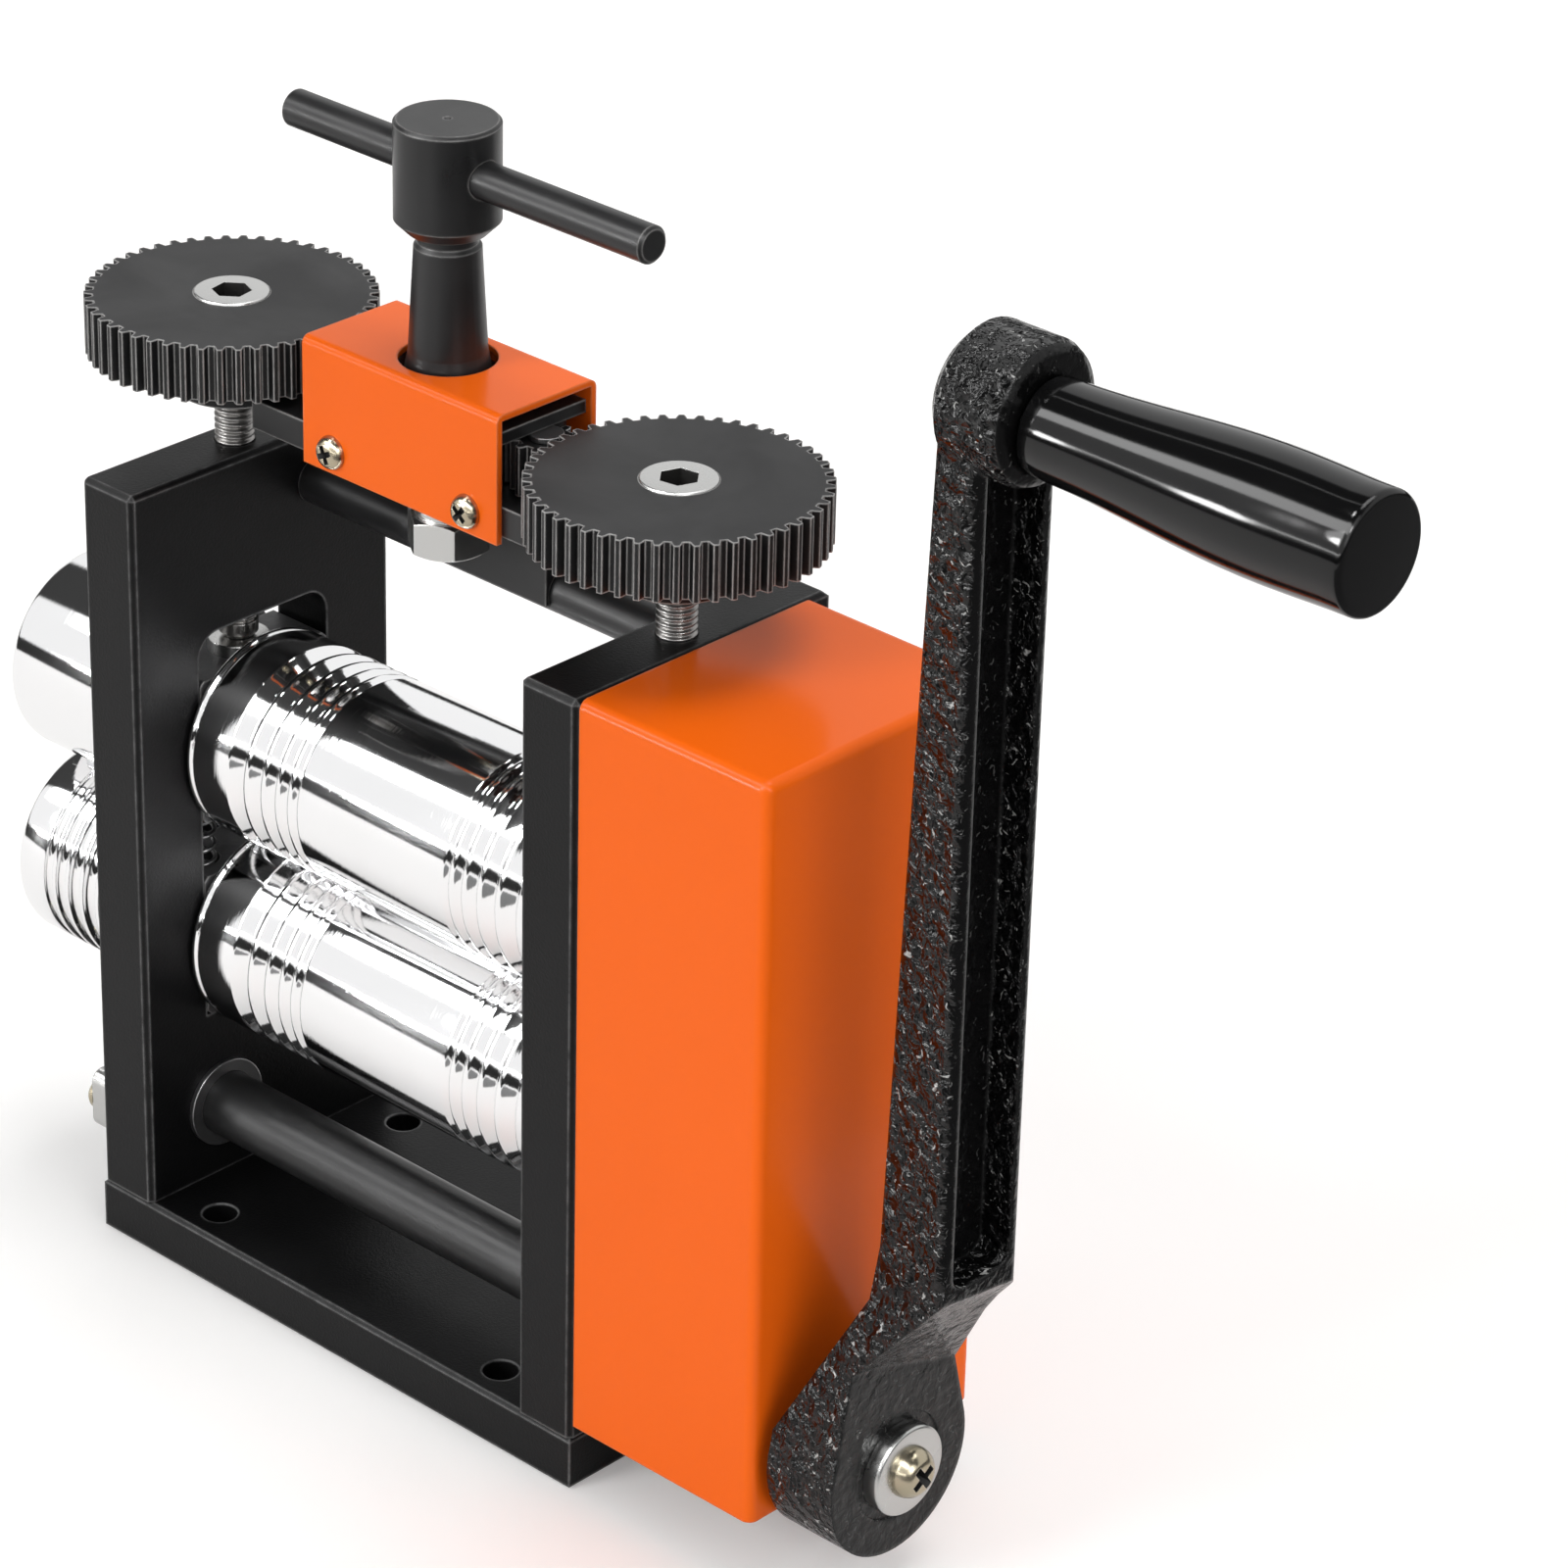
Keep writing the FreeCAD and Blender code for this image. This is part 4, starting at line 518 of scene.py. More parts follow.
def own_copy(piece, name, placing):
    """A copy with its own mesh, already in its place."""
    copy = bpy.data.objects.new(name, piece.data.copy())
    copy.data.name = name
    copy.data.transform(placing)
    bpy.context.scene.collection.objects.link(copy)
    return copy


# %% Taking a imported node's place
body_of_node = {node: body for body, nodes in frame["record"]["behaviour"]["bodies"].items() for node in nodes}


def size_mm(low, high):
    return [round((top - bottom) / MM, 1) for bottom, top in zip(low, high)]


def stands_for(piece, node):
    """Give a piece its finish, let it ride on its body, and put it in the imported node's place."""
    if piece.data.materials:
        piece.data.materials[0] = finishes[node_slots[node]]
    else:
        piece.data.materials.append(finishes[node_slots[node]])
    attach(piece, body_of_node[node])
    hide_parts(node)
    places = list(zip(*(vertex.co for vertex in piece.data.vertices)))
    print(piece.name, "mm", size_mm(map(min, places), map(max, places)), "CAD", size_mm(*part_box(node)),
          "faces", len(piece.data.polygons))


# %% [markdown]
# ## The two long rollers
#
# Each roller is one bar: a barrel with V grooves for wire towards both ends, a journal on either side, and
# thinner seats for the gears and the outer roller. The grooves grow wider towards the ends. The lips of the
# grooves are polished round, and that small radius is what draws the bright and dark rings. Both rollers are
# alike, so one is turned and the other is a copy with its own mesh.

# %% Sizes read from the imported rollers
low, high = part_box("lower_roller")
ROLLER_RADIUS = (high[2] - low[2]) / 2
SHAFT_LEFT, SHAFT_RIGHT = low[0], high[0]
LOWER_AXIS = (low[2] + high[2]) / 2
low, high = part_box("upper_roller")
UPPER_AXIS = (low[2] + high[2]) / 2
low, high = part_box("lower_extension_roller")
OUTER_LEFT, SHOULDER = low[0], high[0]
BARREL_HALF = 39.9 * MM
JOURNAL = 9.0 * MM
SEAT = 6.3 * MM
SCREW_HOLE = 2.45 * MM
SCREW_DEPTH = 12 * MM
print("roller radius mm", round(ROLLER_RADIUS / MM, 2),
      "axes mm", round(LOWER_AXIS / MM, 2), round(UPPER_AXIS / MM, 2))

# %% Groove outline
FIRST_GROOVE = 15.4 * MM
GROOVE_WIDTHS = (1.4, 1.9, 2.4, 3.0, 3.6)
LAND = 0.75 * MM


def wire_grooves():
    """The outline of the grooves on one half of the barrel, with the grooves' lips and bottoms."""
    x = FIRST_GROOVE
    outline, lips, bottoms = [], [], []
    for width in GROOVE_WIDTHS:
        width = width * MM
        lips += [(x, ROLLER_RADIUS), (x + width, ROLLER_RADIUS)]
        bottoms.append((x + width / 2, ROLLER_RADIUS - width / 2))
        outline += [lips[-2], bottoms[-1], lips[-1]]
        x += width + LAND
    return outline, lips, bottoms


def mirrored(points):
    return [(-x, radius) for x, radius in reversed(points)]


grooves, lips, bottoms = wire_grooves()
print("grooves in each half:", len(bottoms), "last lip at mm", round(lips[-1][0] / MM, 2))

# %% Turn the long rollers
COLLAR_FROM_END = (1.9, 1.6, 1.2, 0.9)
COLLAR_DEPTH = 0.35 * MM
barrel_ends = [(-BARREL_HALF, ROLLER_RADIUS), (BARREL_HALF, ROLLER_RADIUS)]
collar = [(BARREL_HALF - step * MM, ROLLER_RADIUS - depth)
          for step, depth in zip(COLLAR_FROM_END, (0, COLLAR_DEPTH, COLLAR_DEPTH, 0))]
left_end = [(SHAFT_LEFT + SCREW_DEPTH, 0), (SHAFT_LEFT + SCREW_DEPTH, SCREW_HOLE), (SHAFT_LEFT, SCREW_HOLE),
            (SHAFT_LEFT, SEAT), (SHOULDER, SEAT), (SHOULDER, JOURNAL), (-BARREL_HALF, JOURNAL)]
right_end = [(BARREL_HALF, JOURNAL), (-SHOULDER, JOURNAL), (-SHOULDER, SEAT), (SHAFT_RIGHT, SEAT),
             (SHAFT_RIGHT, SCREW_HOLE), (SHAFT_RIGHT - SCREW_DEPTH, SCREW_HOLE), (SHAFT_RIGHT - SCREW_DEPTH, 0)]
barrel = [barrel_ends[0]] + mirrored(grooves + collar) + grooves + collar + [barrel_ends[1]]
roundings = [(0.42 * MM, 5, barrel_ends + collar[3:] + mirrored(collar[3:])),
             (0.2 * MM, 4, lips + mirrored(lips)),
             (0.16 * MM, 2, bottoms + mirrored(bottoms))]
lower_roller = turned("lower_wire_roller", left_end + barrel + right_end, (0, LOWER_AXIS), roundings, steps=144)
upper_roller = own_copy(lower_roller, "upper_wire_roller", Matrix.Translation((0, 0, UPPER_AXIS - LOWER_AXIS)))
stands_for(lower_roller, "lower_roller")
stands_for(upper_roller, "upper_roller")

# %% [markdown]
# ## The two outer rollers
#
# Outside the left plate sit two short rollers: a plain one on top, and one with half-round grooves below. They
# could be cylinders with the grooves cut away, but one outline gives clean rings. It runs round the wall of a
# tube, so its first and last points are joined before the spin.

# %% Turn the outer rollers
BORE = 7.55 * MM
END_LAND = 1.55 * MM
FACE_POCKET, POCKET_DEPTH = 10 * MM, 5 * MM
GROOVE_POINTS = 8


def half_round(x_right, radius):
    """The points of a half-round groove, from its right lip to its left lip."""
    turns = [math.pi * i / GROOVE_POINTS for i in range(GROOVE_POINTS + 1)]
    return [(x_right - radius + radius * math.cos(turn), ROLLER_RADIUS - radius * math.sin(turn))
            for turn in turns]


def outer_roller(label, axis_z, groove_radii):
    """A short roller that seats on the shoulder of its shaft, with grooves of the given radii in mm."""
    outline = [(SHOULDER, BORE), (SHOULDER, ROLLER_RADIUS)]
    lips = []
    x = SHOULDER - END_LAND
    for radius in groove_radii:
        groove = half_round(x, radius * MM)
        outline += groove
        lips += [groove[0], groove[-1]]
        x -= 2 * radius * MM + LAND
    outline += [(OUTER_LEFT, ROLLER_RADIUS), (OUTER_LEFT, FACE_POCKET),
                (OUTER_LEFT + POCKET_DEPTH, FACE_POCKET), (OUTER_LEFT + POCKET_DEPTH, BORE)]
    ends = [(SHOULDER, ROLLER_RADIUS), (OUTER_LEFT, ROLLER_RADIUS)]
    roundings = [(0.9 * MM, 6, ends), (0.5 * MM, 3, [(OUTER_LEFT, FACE_POCKET)])]
    if lips:
        roundings.append((0.12 * MM, 3, lips))
    roller = turned(label + "_outer_roller", outline, (0, axis_z), roundings, steps=144, ring=True)
    stands_for(roller, label + "_extension_roller")


outer_roller("lower", LOWER_AXIS, (1.75, 1.6, 1.45, 1.3, 1.15, 1.0))
outer_roller("upper", UPPER_AXIS, ())

# %% [markdown]
# ## The grip
#
# A turned grip of hard black plastic: narrow at the arm, a long low belly, and a rounded rim at the free end.
# Its bore stays open for the bolt it turns on. The belly could be a bent cylinder. Here it is drawn with a few
# stations on a smooth curve, each found with a cosine between root and belly, and the spin is fine enough for
# a clean streak of light.

# %% Outline of the grip
low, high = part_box("grip")
GRIP_START, GRIP_END = low[0], high[0]
GRIP_AXIS = ((low[1] + high[1]) / 2, (low[2] + high[2]) / 2)
GRIP_LENGTH = GRIP_END - GRIP_START
GRIP_ROOT, GRIP_BELLY, GRIP_TIP = 6.8 * MM, 8.75 * MM, 8.4 * MM
BELLY_AT = 0.7
STATIONS = 15
BOLT_HOLE, HEAD_HOLE = 3.54 * MM, 4.75 * MM
HEAD_SEAT, HEAD_HOLE_END = GRIP_END - 12.2 * MM, GRIP_END - 6.8 * MM


def grip_radius(share):
    """The grip's radius at a share of its length, from the root over the belly to the tip."""
    if share < BELLY_AT:
        return GRIP_ROOT + (GRIP_BELLY - GRIP_ROOT) * (0.5 - 0.5 * math.cos(math.pi * share / BELLY_AT))
    past_belly = (share - BELLY_AT) / (1 - BELLY_AT)
    return GRIP_BELLY - (GRIP_BELLY - GRIP_TIP) * (0.5 - 0.5 * math.cos(math.pi * past_belly))


grip_outline = [(HEAD_HOLE_END, 0), (HEAD_HOLE_END, HEAD_HOLE), (HEAD_SEAT, HEAD_HOLE),
                (HEAD_SEAT, BOLT_HOLE), (GRIP_START, BOLT_HOLE), (GRIP_START, GRIP_ROOT)]
grip_outline += [(GRIP_START + station / STATIONS * GRIP_LENGTH, grip_radius(station / STATIONS))
                 for station in range(1, STATIONS)]
grip_outline += [(GRIP_END, GRIP_TIP), (GRIP_END, 0)]
print("grip length mm", round(GRIP_LENGTH / MM, 1), "outline points", len(grip_outline))

# %% Turn the grip
grip = turned("turned_grip", grip_outline, GRIP_AXIS,
              [(0.9 * MM, 6, [(GRIP_END, GRIP_TIP)]), (0.6 * MM, 4, [(GRIP_START, GRIP_ROOT)])], smooth=50)
stands_for(grip, "grip")

# %% [markdown]
# ## Screw heads with a recess
#
# The pan heads and the countersunk caps have a recess pressed in. It could be a dark spot on a smooth head, but
# it catches the light like a real hole when it is one. A cutter, a tapered cross or a hexagon, is taken away
# with a Boolean modifier that is applied, and the cut faces get a near-black colour: painted shade for the
# inside of the recess.

# %% Cutting a recess
# Painted shade: the cut faces of each recess get this near-black colour for the shade inside the hole.
recess_painted_shade = finish("recess painted shade", (0.012, 0.011, 0.010), (0.05, 0.05, 0.05), 0.5, specular=0.3, edge=0.0002,
                      wear=0.3)


def cut_away(piece, cutter):
    """Take the cutter out of the piece and throw the cutter away. Cut faces take the cutter's finish, the
    near-black painted shade of the recess.
    """
    cutter.data.materials.clear()
    cutter.data.materials.append(recess_painted_shade)
    bpy.ops.object.select_all(action="DESELECT")
    bpy.context.view_layer.objects.active = piece
    piece.select_set(True)
    recess = piece.modifiers.new("recess", "BOOLEAN")
    recess.object = cutter
    recess.operation = "DIFFERENCE"
    recess.solver = "EXACT"
    recess.material_mode = "TRANSFER"
    bpy.ops.object.modifier_apply(modifier=recess.name)
    bpy.data.objects.remove(cutter, do_unlink=True)


# %% A pan head screw
RECESS_TAPER = (1, 0.55, 0.7)
# Shares of the head's height, of its radius and of the shank's radius.
SHOULDER_HEIGHT, SHOULDER_ROUND, RECESS_FLOOR, RECESS_TOP = 0.42, 0.4, 0.30, 1.2
CROWN_RADIUS, CROWN_ROUND, RECESS_REACH, RECESS_HALF_WIDTH = 0.62, 0.16, 0.62, 0.17
POINT_RADIUS, POINT_LENGTH = 0.7, 0.4


def cross_arm(depth_from, depth_to, reach, half_width, turn):
    """One arm of a cross recess: a bar that gets narrower and shorter towards its floor."""
    middle = (depth_from + depth_to) / 2
    bpy.ops.object.select_all(action="DESELECT")
    bpy.ops.mesh.primitive_cube_add(size=1, location=(middle, 0, 0))
    arm = bpy.context.object
    arm.scale = (depth_to - depth_from, 2 * reach, 2 * half_width)
    bpy.ops.object.transform_apply(location=True, rotation=True, scale=True)
    bpy.ops.object.mode_set(mode="EDIT")
    bpy.ops.mesh.select_mode(type="VERT")
    pick(arm, lambda place: place.x < middle)
    bpy.ops.transform.resize(value=RECESS_TAPER, center_override=(middle, 0, 0))
    bpy.ops.object.mode_set(mode="OBJECT")
    arm.data.transform(Matrix.Rotation(math.radians(turn), 4, "X"))
    return arm


def pan_head(name, radius, height, shank, length, turn):
    """A pan head screw along X: seat at X = 0, head on the positive side, cross recess."""
    shoulder, crown = (height * SHOULDER_HEIGHT, radius), (height, radius * CROWN_RADIUS)
    outline = [(-length, 0), (-length, shank * POINT_RADIUS), (-length + shank * POINT_LENGTH, shank), (0, shank),
               (0, radius), shoulder, crown, (height, 0)]
    roundings = [(height * SHOULDER_ROUND, 5, [shoulder]), (radius * CROWN_ROUND, 4, [crown])]
    screw = turned(name, outline, (0, 0), roundings, steps=48)
    screw.data.materials.append(finishes["yellow_zinc"])
    for quarter in (0, 90):
        cut_away(screw, cross_arm(height * RECESS_FLOOR, height * RECESS_TOP, radius * RECESS_REACH,
                                  radius * RECESS_HALF_WIDTH, turn + quarter))
    bpy.ops.object.shade_smooth_by_angle(angle=math.radians(SMOOTH_DEGREES))
    return screw


# %% [markdown]
# ## The screws of the small gearbox
#
# Two small pan screws on each side hold the orange cover. One is modelled, and four copies with their own
# meshes are turned to face outward, the right pair with the cross at another angle, as a hand leaves them. They
# belong to one node, so they are joined.

# %% Gearbox cover screws
COVER_SCREW_X = 13.9 * MM
COVER_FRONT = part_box("pinion_cover")[0][1]
low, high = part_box("pinion_cover_screws")
COVER_SCREW_Z = (low[2] + high[2]) / 2
model = pan_head("cover_screw", radius=2.6 * MM, height=1.7 * MM, shank=1.5 * MM, length=5.9 * MM, turn=25)
copies = []
for x, turn in ((-COVER_SCREW_X, 0), (COVER_SCREW_X, 25)):
    for outward in (-1, 1):
        facing = Vector((0, outward, 0)).to_track_quat("X", "Z").to_matrix().to_4x4()
        place = Matrix.Translation((x, outward * abs(COVER_FRONT), COVER_SCREW_Z))
        turned_in = Matrix.Rotation(math.radians(turn), 4, "X")
        copies.append(own_copy(model, "cover_screw", place @ facing @ turned_in))
bpy.data.objects.remove(model, do_unlink=True)
bpy.ops.object.select_all(action="DESELECT")
for screw in copies:
    screw.select_set(True)
bpy.context.view_layer.objects.active = copies[0]
bpy.ops.object.join()
cover_screws = bpy.context.object
cover_screws.name = cover_screws.data.name = "gearbox_cover_screws"
stands_for(cover_screws, "pinion_cover_screws")

# %% [markdown]
# ## Screw and washer of the crank
#
# A larger pan screw with a thick washer holds the crank on its shaft. The washer could be a short cylinder with a
# hole, but a closed outline spun round the axis gives it rounded rims too. The screw is the same model as above
# with other sizes.

# %% Crank screw and its washer
WASHER_RADIUS, WASHER_BORE = 7 * MM, 2.15 * MM
low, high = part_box("crank_washer")
WASHER_SEAT, WASHER_FACE = low[0], high[0]
CRANK_AXIS = ((low[1] + high[1]) / 2, (low[2] + high[2]) / 2)
washer = turned("crank_hub_washer", [(WASHER_SEAT, WASHER_BORE), (WASHER_SEAT, WASHER_RADIUS),
                                     (WASHER_FACE, WASHER_RADIUS), (WASHER_FACE, WASHER_BORE)], CRANK_AXIS,
                [(0.5 * MM, 4, [(WASHER_FACE, WASHER_RADIUS)]), (0.3 * MM, 3, [(WASHER_FACE, WASHER_BORE)])],
                steps=96, ring=True)
stands_for(washer, "crank_washer")
screw = pan_head("crank_hub_screw", radius=3.9 * MM, height=2.6 * MM, shank=2.0 * MM, length=15.6 * MM, turn=35)
screw.data.transform(Matrix.Translation((WASHER_FACE, CRANK_AXIS[0], CRANK_AXIS[1])))
stands_for(screw, "crank_screw")

# %% [markdown]
# ## Caps of the adjusting screws
#
# A countersunk screw with a hexagon recess clamps each big gear on its adjusting screw. It could be modelled
# upright, but turned along X it comes off the same lathe as the others, and each copy is then stood upright over
# its gear.

# %% Turn the cap
CAP_RADIUS, CAP_STEM, CAP_NECK = 5.6 * MM, 2 * MM, 2.5 * MM
CAP_RIM, CAP_CONE = 0.9 * MM, 3.1 * MM
HEXAGON_RADIUS, HEXAGON_LENGTH = 3.0 * MM, 3.4 * MM
low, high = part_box("adjusting_cap_left")
top, foot = high[2], low[2]
rim = top - CAP_RIM
outline = [(foot, 0), (foot, CAP_STEM), (rim - CAP_CONE, CAP_STEM), (rim - CAP_CONE, CAP_NECK),
           (rim, CAP_RADIUS), (top, CAP_RADIUS), (top, 0)]
model = turned("cap_screw", outline, (0, 0), [(0.3 * MM, 4, [(top, CAP_RADIUS)])], steps=96)
model.data.materials.append(finishes["zinc_steel"])
bpy.ops.object.select_all(action="DESELECT")
bpy.ops.mesh.primitive_cylinder_add(vertices=6, radius=HEXAGON_RADIUS, depth=HEXAGON_LENGTH,
                                    location=(top - CAP_RIM, 0, 0), rotation=(0, math.radians(90), 0))
hexagon = bpy.context.object
bpy.ops.object.transform_apply(location=True, rotation=True, scale=True)
cut_away(model, hexagon)
bpy.ops.object.shade_smooth_by_angle(angle=math.radians(SMOOTH_DEGREES))

# %% Place the two caps
upright = Matrix.Rotation(math.radians(-90), 4, "Y")
for side, turn in (("left", 10), ("right", 40)):
    low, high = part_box("adjusting_cap_" + side)
    place = Matrix.Translation(((low[0] + high[0]) / 2, (low[1] + high[1]) / 2, 0))
    cap = own_copy(model, "cap_screw_" + side, place @ upright @ Matrix.Rotation(math.radians(turn), 4, "X"))
    stands_for(cap, "adjusting_cap_" + side)
bpy.data.objects.remove(model, do_unlink=True)

# %% [markdown]
# ## The lift springs
#
# Four coil springs lift the upper bearing blocks. A stiff spring would cut into its pocket when the carriage
# moves. The imported coils are fine enough to be used as they are: a copy with its own mesh takes their place,
# and the imported node is hidden.

# %% Lift springs
low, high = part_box("lift_springs")
packed_springs = frame["nodes"]["lift_springs"]
springs = own_copy(packed_springs, "carriage_lift_springs", packed_springs.matrix_world)
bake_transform(springs)
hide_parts("lift_springs")
print("springs", len(springs.data.polygons), "faces, height mm", round((high[2] - low[2]) / MM, 2))

# %% [markdown]
# ## The floor
#
# A pale floor takes a soft shadow. Its own colour is a pale grey-white, which alone would look grey next to the
# white background. Brighter lamps would cure that and bleach the mill. So the floor glows a little for rays
# straight from the camera: it joins the background while the shadow stays. For rays off polished metal it glows
# a third of that.

# %% Floor
FLOOR_HALF, FLOOR_HEIGHT = 3.0, -0.0003
FLOOR_GLOW, GLOW_IN_METAL = 0.21, 0.3
bpy.ops.object.select_all(action="DESELECT")
bpy.ops.mesh.primitive_plane_add(size=2 * FLOOR_HALF, location=(0, 0, FLOOR_HEIGHT))
floor = bpy.context.object
floor.name = "studio_floor"
floor_material = bpy.data.materials.new("pale floor")
floor_material.use_nodes = True
tree = floor_material.node_tree
shader = tree.nodes["Principled BSDF"]
shader.inputs["Base Color"].default_value = (0.84, 0.83, 0.82, 1)
shader.inputs["Roughness"].default_value = 0.9
shader.inputs["Specular IOR Level"].default_value = 0.1
rays = add_node(tree, "ShaderNodeLightPath")
in_metal = math_node(tree, "MULTIPLY", rays.outputs["Is Glossy Ray"], GLOW_IN_METAL)
seen = math_node(tree, "MAXIMUM", rays.outputs["Is Camera Ray"], in_metal)
glow = add_node(tree, "ShaderNodeEmission", {"Color": (1, 1, 1, 1)})
join(tree, math_node(tree, "MULTIPLY", seen, FLOOR_GLOW), glow.inputs["Strength"])
both = add_node(tree, "ShaderNodeAddShader")
join(tree, shader.outputs[0], both.inputs[0])
join(tree, glow.outputs[0], both.inputs[1])
join(tree, both.outputs[0], tree.nodes["Material Output"].inputs["Surface"])
floor.data.materials.append(floor_material)
print("floor", 2 * FLOOR_HALF, "m wide")

# %% [markdown]
# ## Dark cloths for the reflections
#
# Polished rollers need something dark to reflect, or they look like plaster. Photographers hang black cloth
# round such a piece. Here a low dark band stands round the set and a grey cloth lies on the floor to the right.
# Both are seen only in reflections: not by the camera, and they take no light and cast no shadow.

# %% Dark band and grey cloth
BAND_RADIUS, BAND_HEIGHT = 1.25, 0.20
CLOTH_MIDDLE, CLOTH_SIZE = (0.80, 0.25, 0.0002), (1.28, 1.7, 1)


def only_in_reflections(piece, name, material_name, grey):
    """Give a stage piece a matt grey cloth and hide it from the camera, the light and the shadows."""
    material = bpy.data.materials.new(material_name)
    material.use_nodes = True
    shader = material.node_tree.nodes["Principled BSDF"]
    shader.inputs["Base Color"].default_value = (grey, grey, grey, 1)
    shader.inputs["Roughness"].default_value = 1.0
    piece.name = name
    piece.data.materials.append(material)
    piece.visible_camera = piece.visible_diffuse = piece.visible_shadow = False
    print(name, "grey", grey)


bpy.ops.object.select_all(action="DESELECT")
bpy.ops.mesh.primitive_cylinder_add(vertices=96, radius=BAND_RADIUS, depth=BAND_HEIGHT, end_fill_type="NOTHING",
                                    location=(0, 0, BAND_HEIGHT / 2))
only_in_reflections(bpy.context.object, "studio_dark_band", "dark cloth", 0.01)
bpy.ops.object.select_all(action="DESELECT")
bpy.ops.mesh.primitive_plane_add(size=1, location=CLOTH_MIDDLE)
bpy.context.object.scale = CLOTH_SIZE
bpy.ops.object.transform_apply(location=True, rotation=True, scale=True)
only_in_reflections(bpy.context.object, "studio_dark_cloth", "grey cloth", 0.12)

# %% [markdown]
# ## White all round, with a dark ceiling for the metal
#
# The background is white for the camera and weaker as a light, or it would wash out every shadow. Straight
# above the rollers, where the studio's lamps hang, reflections find a dark ceiling. How steeply a ray climbs is
# measured across the rollers only, so the dark part is a long strip along them.

# %% World
AMBIENT = 0.5
CEILING_GREY = 0.05
CEILING_START, CEILING_FULL = 0.86, 0.90
bpy.context.scene.view_settings.view_transform = "Standard"
world = bpy.data.worlds.new("white studio")
bpy.context.scene.world = world
world.use_nodes = True
tree = world.node_tree
background = tree.nodes["Background"]
background.inputs["Color"].default_value = (1, 1, 1, 1)
rays = add_node(tree, "ShaderNodeLightPath")
seen = math_node(tree, "MAXIMUM", rays.outputs["Is Camera Ray"], rays.outputs["Is Glossy Ray"])
seen = math_node(tree, "MAXIMUM", seen, rays.outputs["Is Transmission Ray"])
level = add_node(tree, "ShaderNodeMapRange", {"To Min": AMBIENT, "To Max": 1.0})
join(tree, seen, level.inputs["Value"])
print("white for the camera, as a light", AMBIENT)

# %% Dark ceiling
upward = add_node(tree, "ShaderNodeTexCoord")
split = add_node(tree, "ShaderNodeSeparateXYZ")
join(tree, upward.outputs["Generated"], split.inputs[0])
ceiling = add_node(tree, "ShaderNodeMapRange",
                   {"From Min": CEILING_START, "From Max": CEILING_FULL, "To Min": 1.0, "To Max": CEILING_GREY},
                   interpolation_type="SMOOTHSTEP")
across = math_node(tree, "ADD", math_node(tree, "MULTIPLY", split.outputs["Y"], split.outputs["Y"]),
                   math_node(tree, "MULTIPLY", split.outputs["Z"], split.outputs["Z"]))
steepness = math_node(tree, "DIVIDE", split.outputs["Z"], math_node(tree, "SQRT", across))
join(tree, steepness, ceiling.inputs["Value"])
in_gloss = add_node(tree, "ShaderNodeMix", data_type="FLOAT")
join(tree, rays.outputs["Is Glossy Ray"], in_gloss.inputs[0])
in_gloss.inputs[NUMBER_A].default_value = 1.0
join(tree, ceiling.outputs[0], in_gloss.inputs[NUMBER_B])
join(tree, math_node(tree, "MULTIPLY", level.outputs[0], in_gloss.outputs[0]), background.inputs["Strength"])
print("ceiling grey", CEILING_GREY, "from steepness", CEILING_START, "to", CEILING_FULL)

# %% [markdown]
# ## Wide lamps
#
# Three very wide suns stand in for large soft boxes: overhead, from the upper left front, and from the right,
# so that the front of the mill is the brightest, then its top, then its right side. Area lamps would fall off
# towards the far side, while a wide sun gives the same level all over the floor and a soft shadow.

# %% Wide suns
SUN_DISTANCE = 2


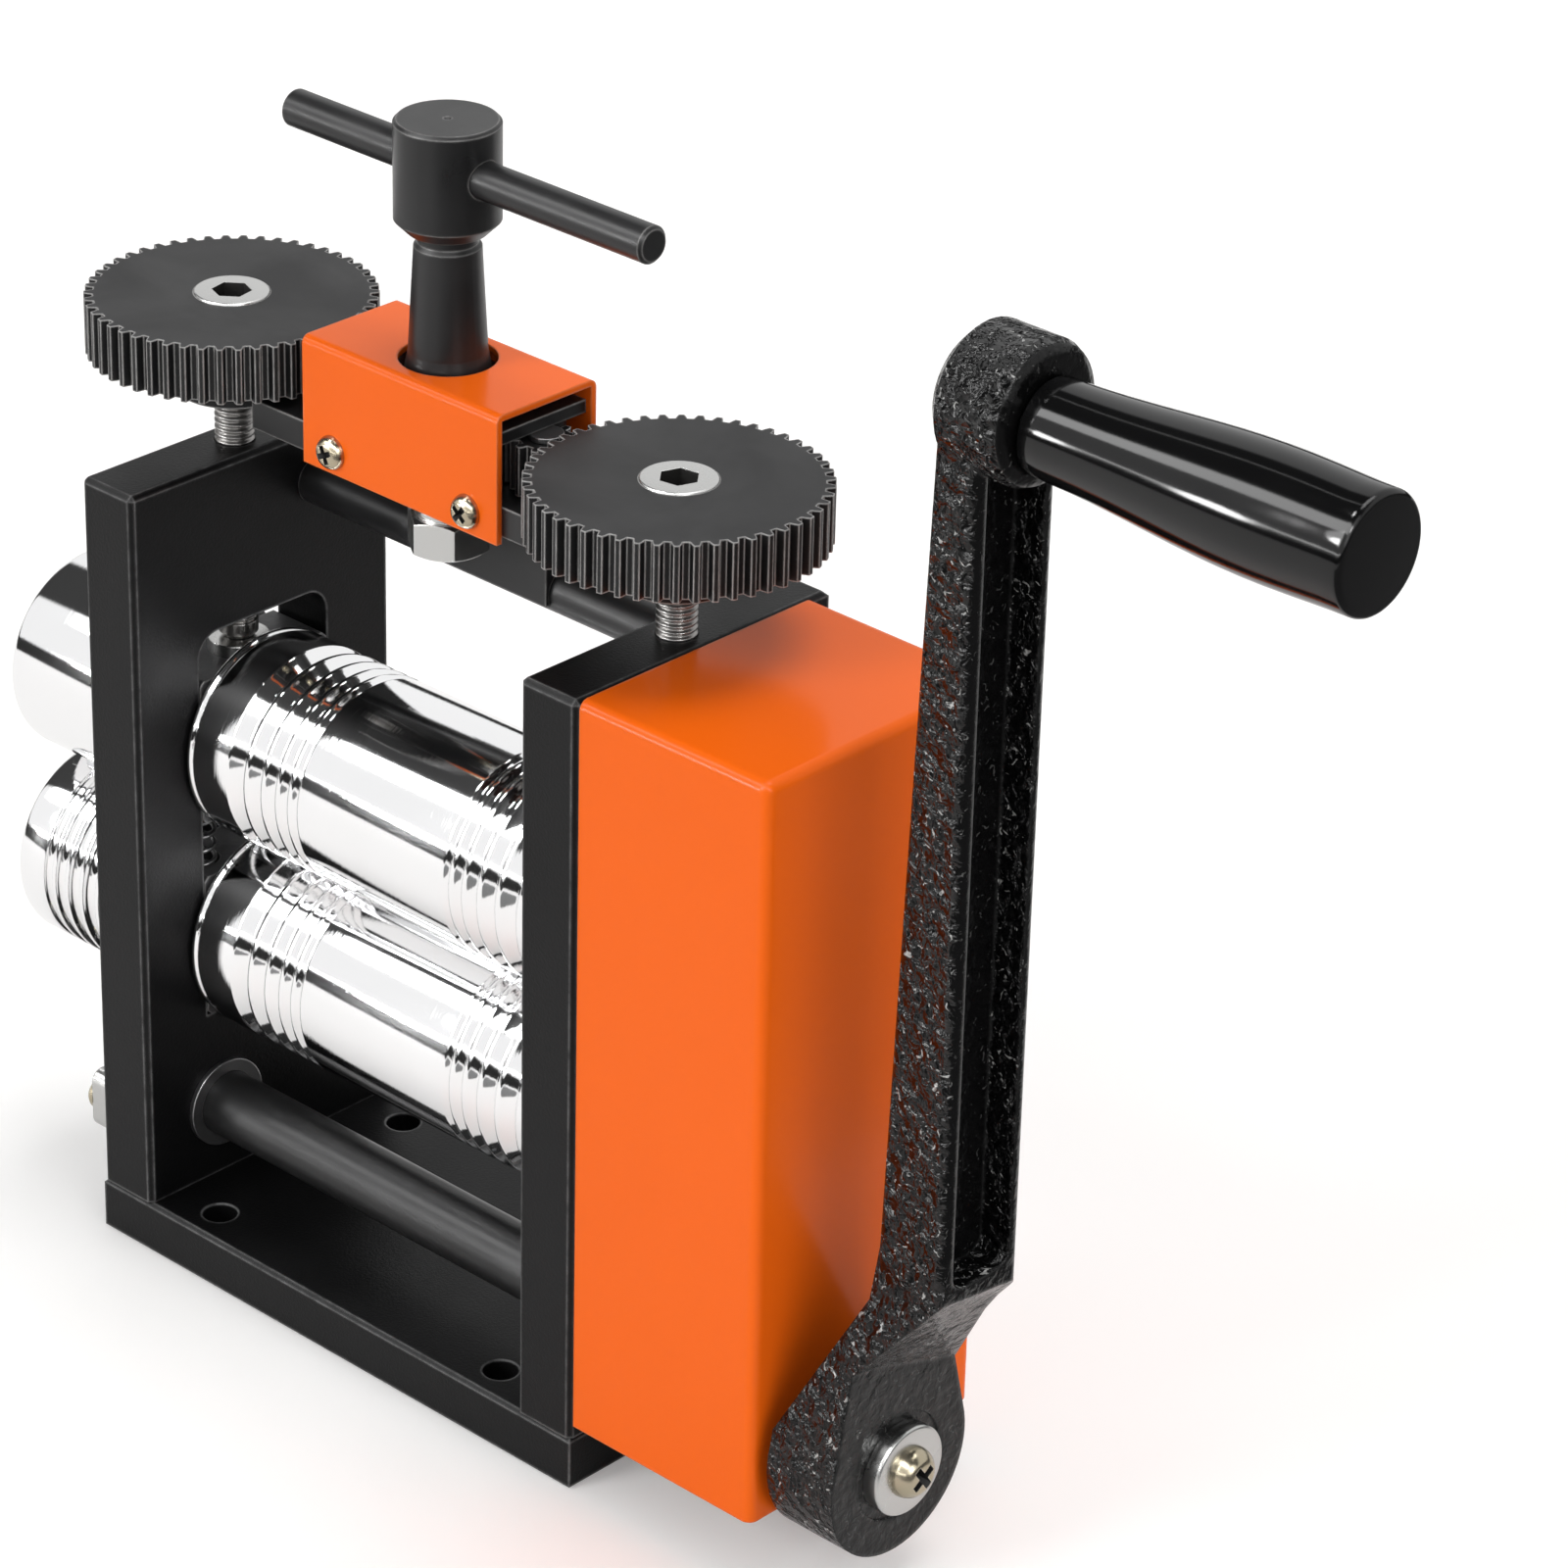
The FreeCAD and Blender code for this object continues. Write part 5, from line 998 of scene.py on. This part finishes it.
def soft_sun(name, direction, strength, angle_degrees):
    """A sun that shines from a direction, as wide as a soft box."""
    data = bpy.data.lights.new(name, "SUN")
    data.energy = strength
    data.angle = math.radians(angle_degrees)
    lamp = bpy.data.objects.new(name, data)
    lamp.matrix_world = (Matrix.Translation(Vector(direction).normalized() * SUN_DISTANCE)
                         @ Vector(direction).to_track_quat("Z", "Y").to_matrix().to_4x4())
    bpy.context.scene.collection.objects.link(lamp)
    print(name, "strength", strength, "width in degrees", angle_degrees)
    return lamp


soft_sun("overhead", (0.1, 0.25, 1.0), 1.25, 34)
soft_sun("key", (-0.35, -1.0, 0.6), 1.22, 26)
soft_sun("side fill", (1.0, -0.25, 0.45), 0.65, 40)

# %% [markdown]
# ## Strips and sparks, seen only in gloss
#
# Long narrow soft boxes parallel to the rollers draw the bright lines that run along them. Four small suns make
# the points of light on screws, edges and the hammered crank. None of them lights the mill or the floor.

# %% Strip lamps
STRIP_DISTANCE, STRIP_LENGTH = 1.2, 2.4
STRIP_CENTRE = Vector((0, 0, 0.12))


def strip_lamp(name, angle_degrees, across, radiance):
    """A strip soft box parallel to the rollers. Its angle goes from the back over the top to the front."""
    angle = math.radians(angle_degrees)
    outward = Vector((0, math.cos(angle), math.sin(angle)))
    sideways = outward.cross(Vector((1, 0, 0)))
    data = bpy.data.lights.new(name, "AREA")
    data.shape = "RECTANGLE"
    data.size = STRIP_LENGTH
    data.size_y = across
    data.energy = radiance * math.pi * STRIP_LENGTH * across
    lamp = bpy.data.objects.new(name, data)
    place = STRIP_CENTRE + outward * STRIP_DISTANCE
    lamp.matrix_world = Matrix(((1, sideways.x, outward.x, place.x), (0, sideways.y, outward.y, place.y),
                                (0, sideways.z, outward.z, place.z), (0, 0, 0, 1)))
    bpy.context.scene.collection.objects.link(lamp)
    lamp.visible_diffuse = lamp.visible_camera = False
    print(name, "at", angle_degrees, "degrees, radiance", radiance)


strip_lamp("upper front strip", 128, 0.36, 7.0)
strip_lamp("overhead strip", 84, 0.03, 2.5)
strip_lamp("low front strip", 171, 0.05, 9.0)

# %% Small bright lamps for sparkle
SPARK_STRENGTH, SPARK_WIDTH = 0.7, 9
for name, direction in (("spark left", (-0.45, -0.95, 0.45)), ("spark low", (-0.60, -0.80, 0.06)),
                        ("spark high", (-0.35, -0.25, 1.0)), ("spark right", (0.9, -0.3, 0.5))):
    soft_sun(name, direction, SPARK_STRENGTH, SPARK_WIDTH).visible_diffuse = False
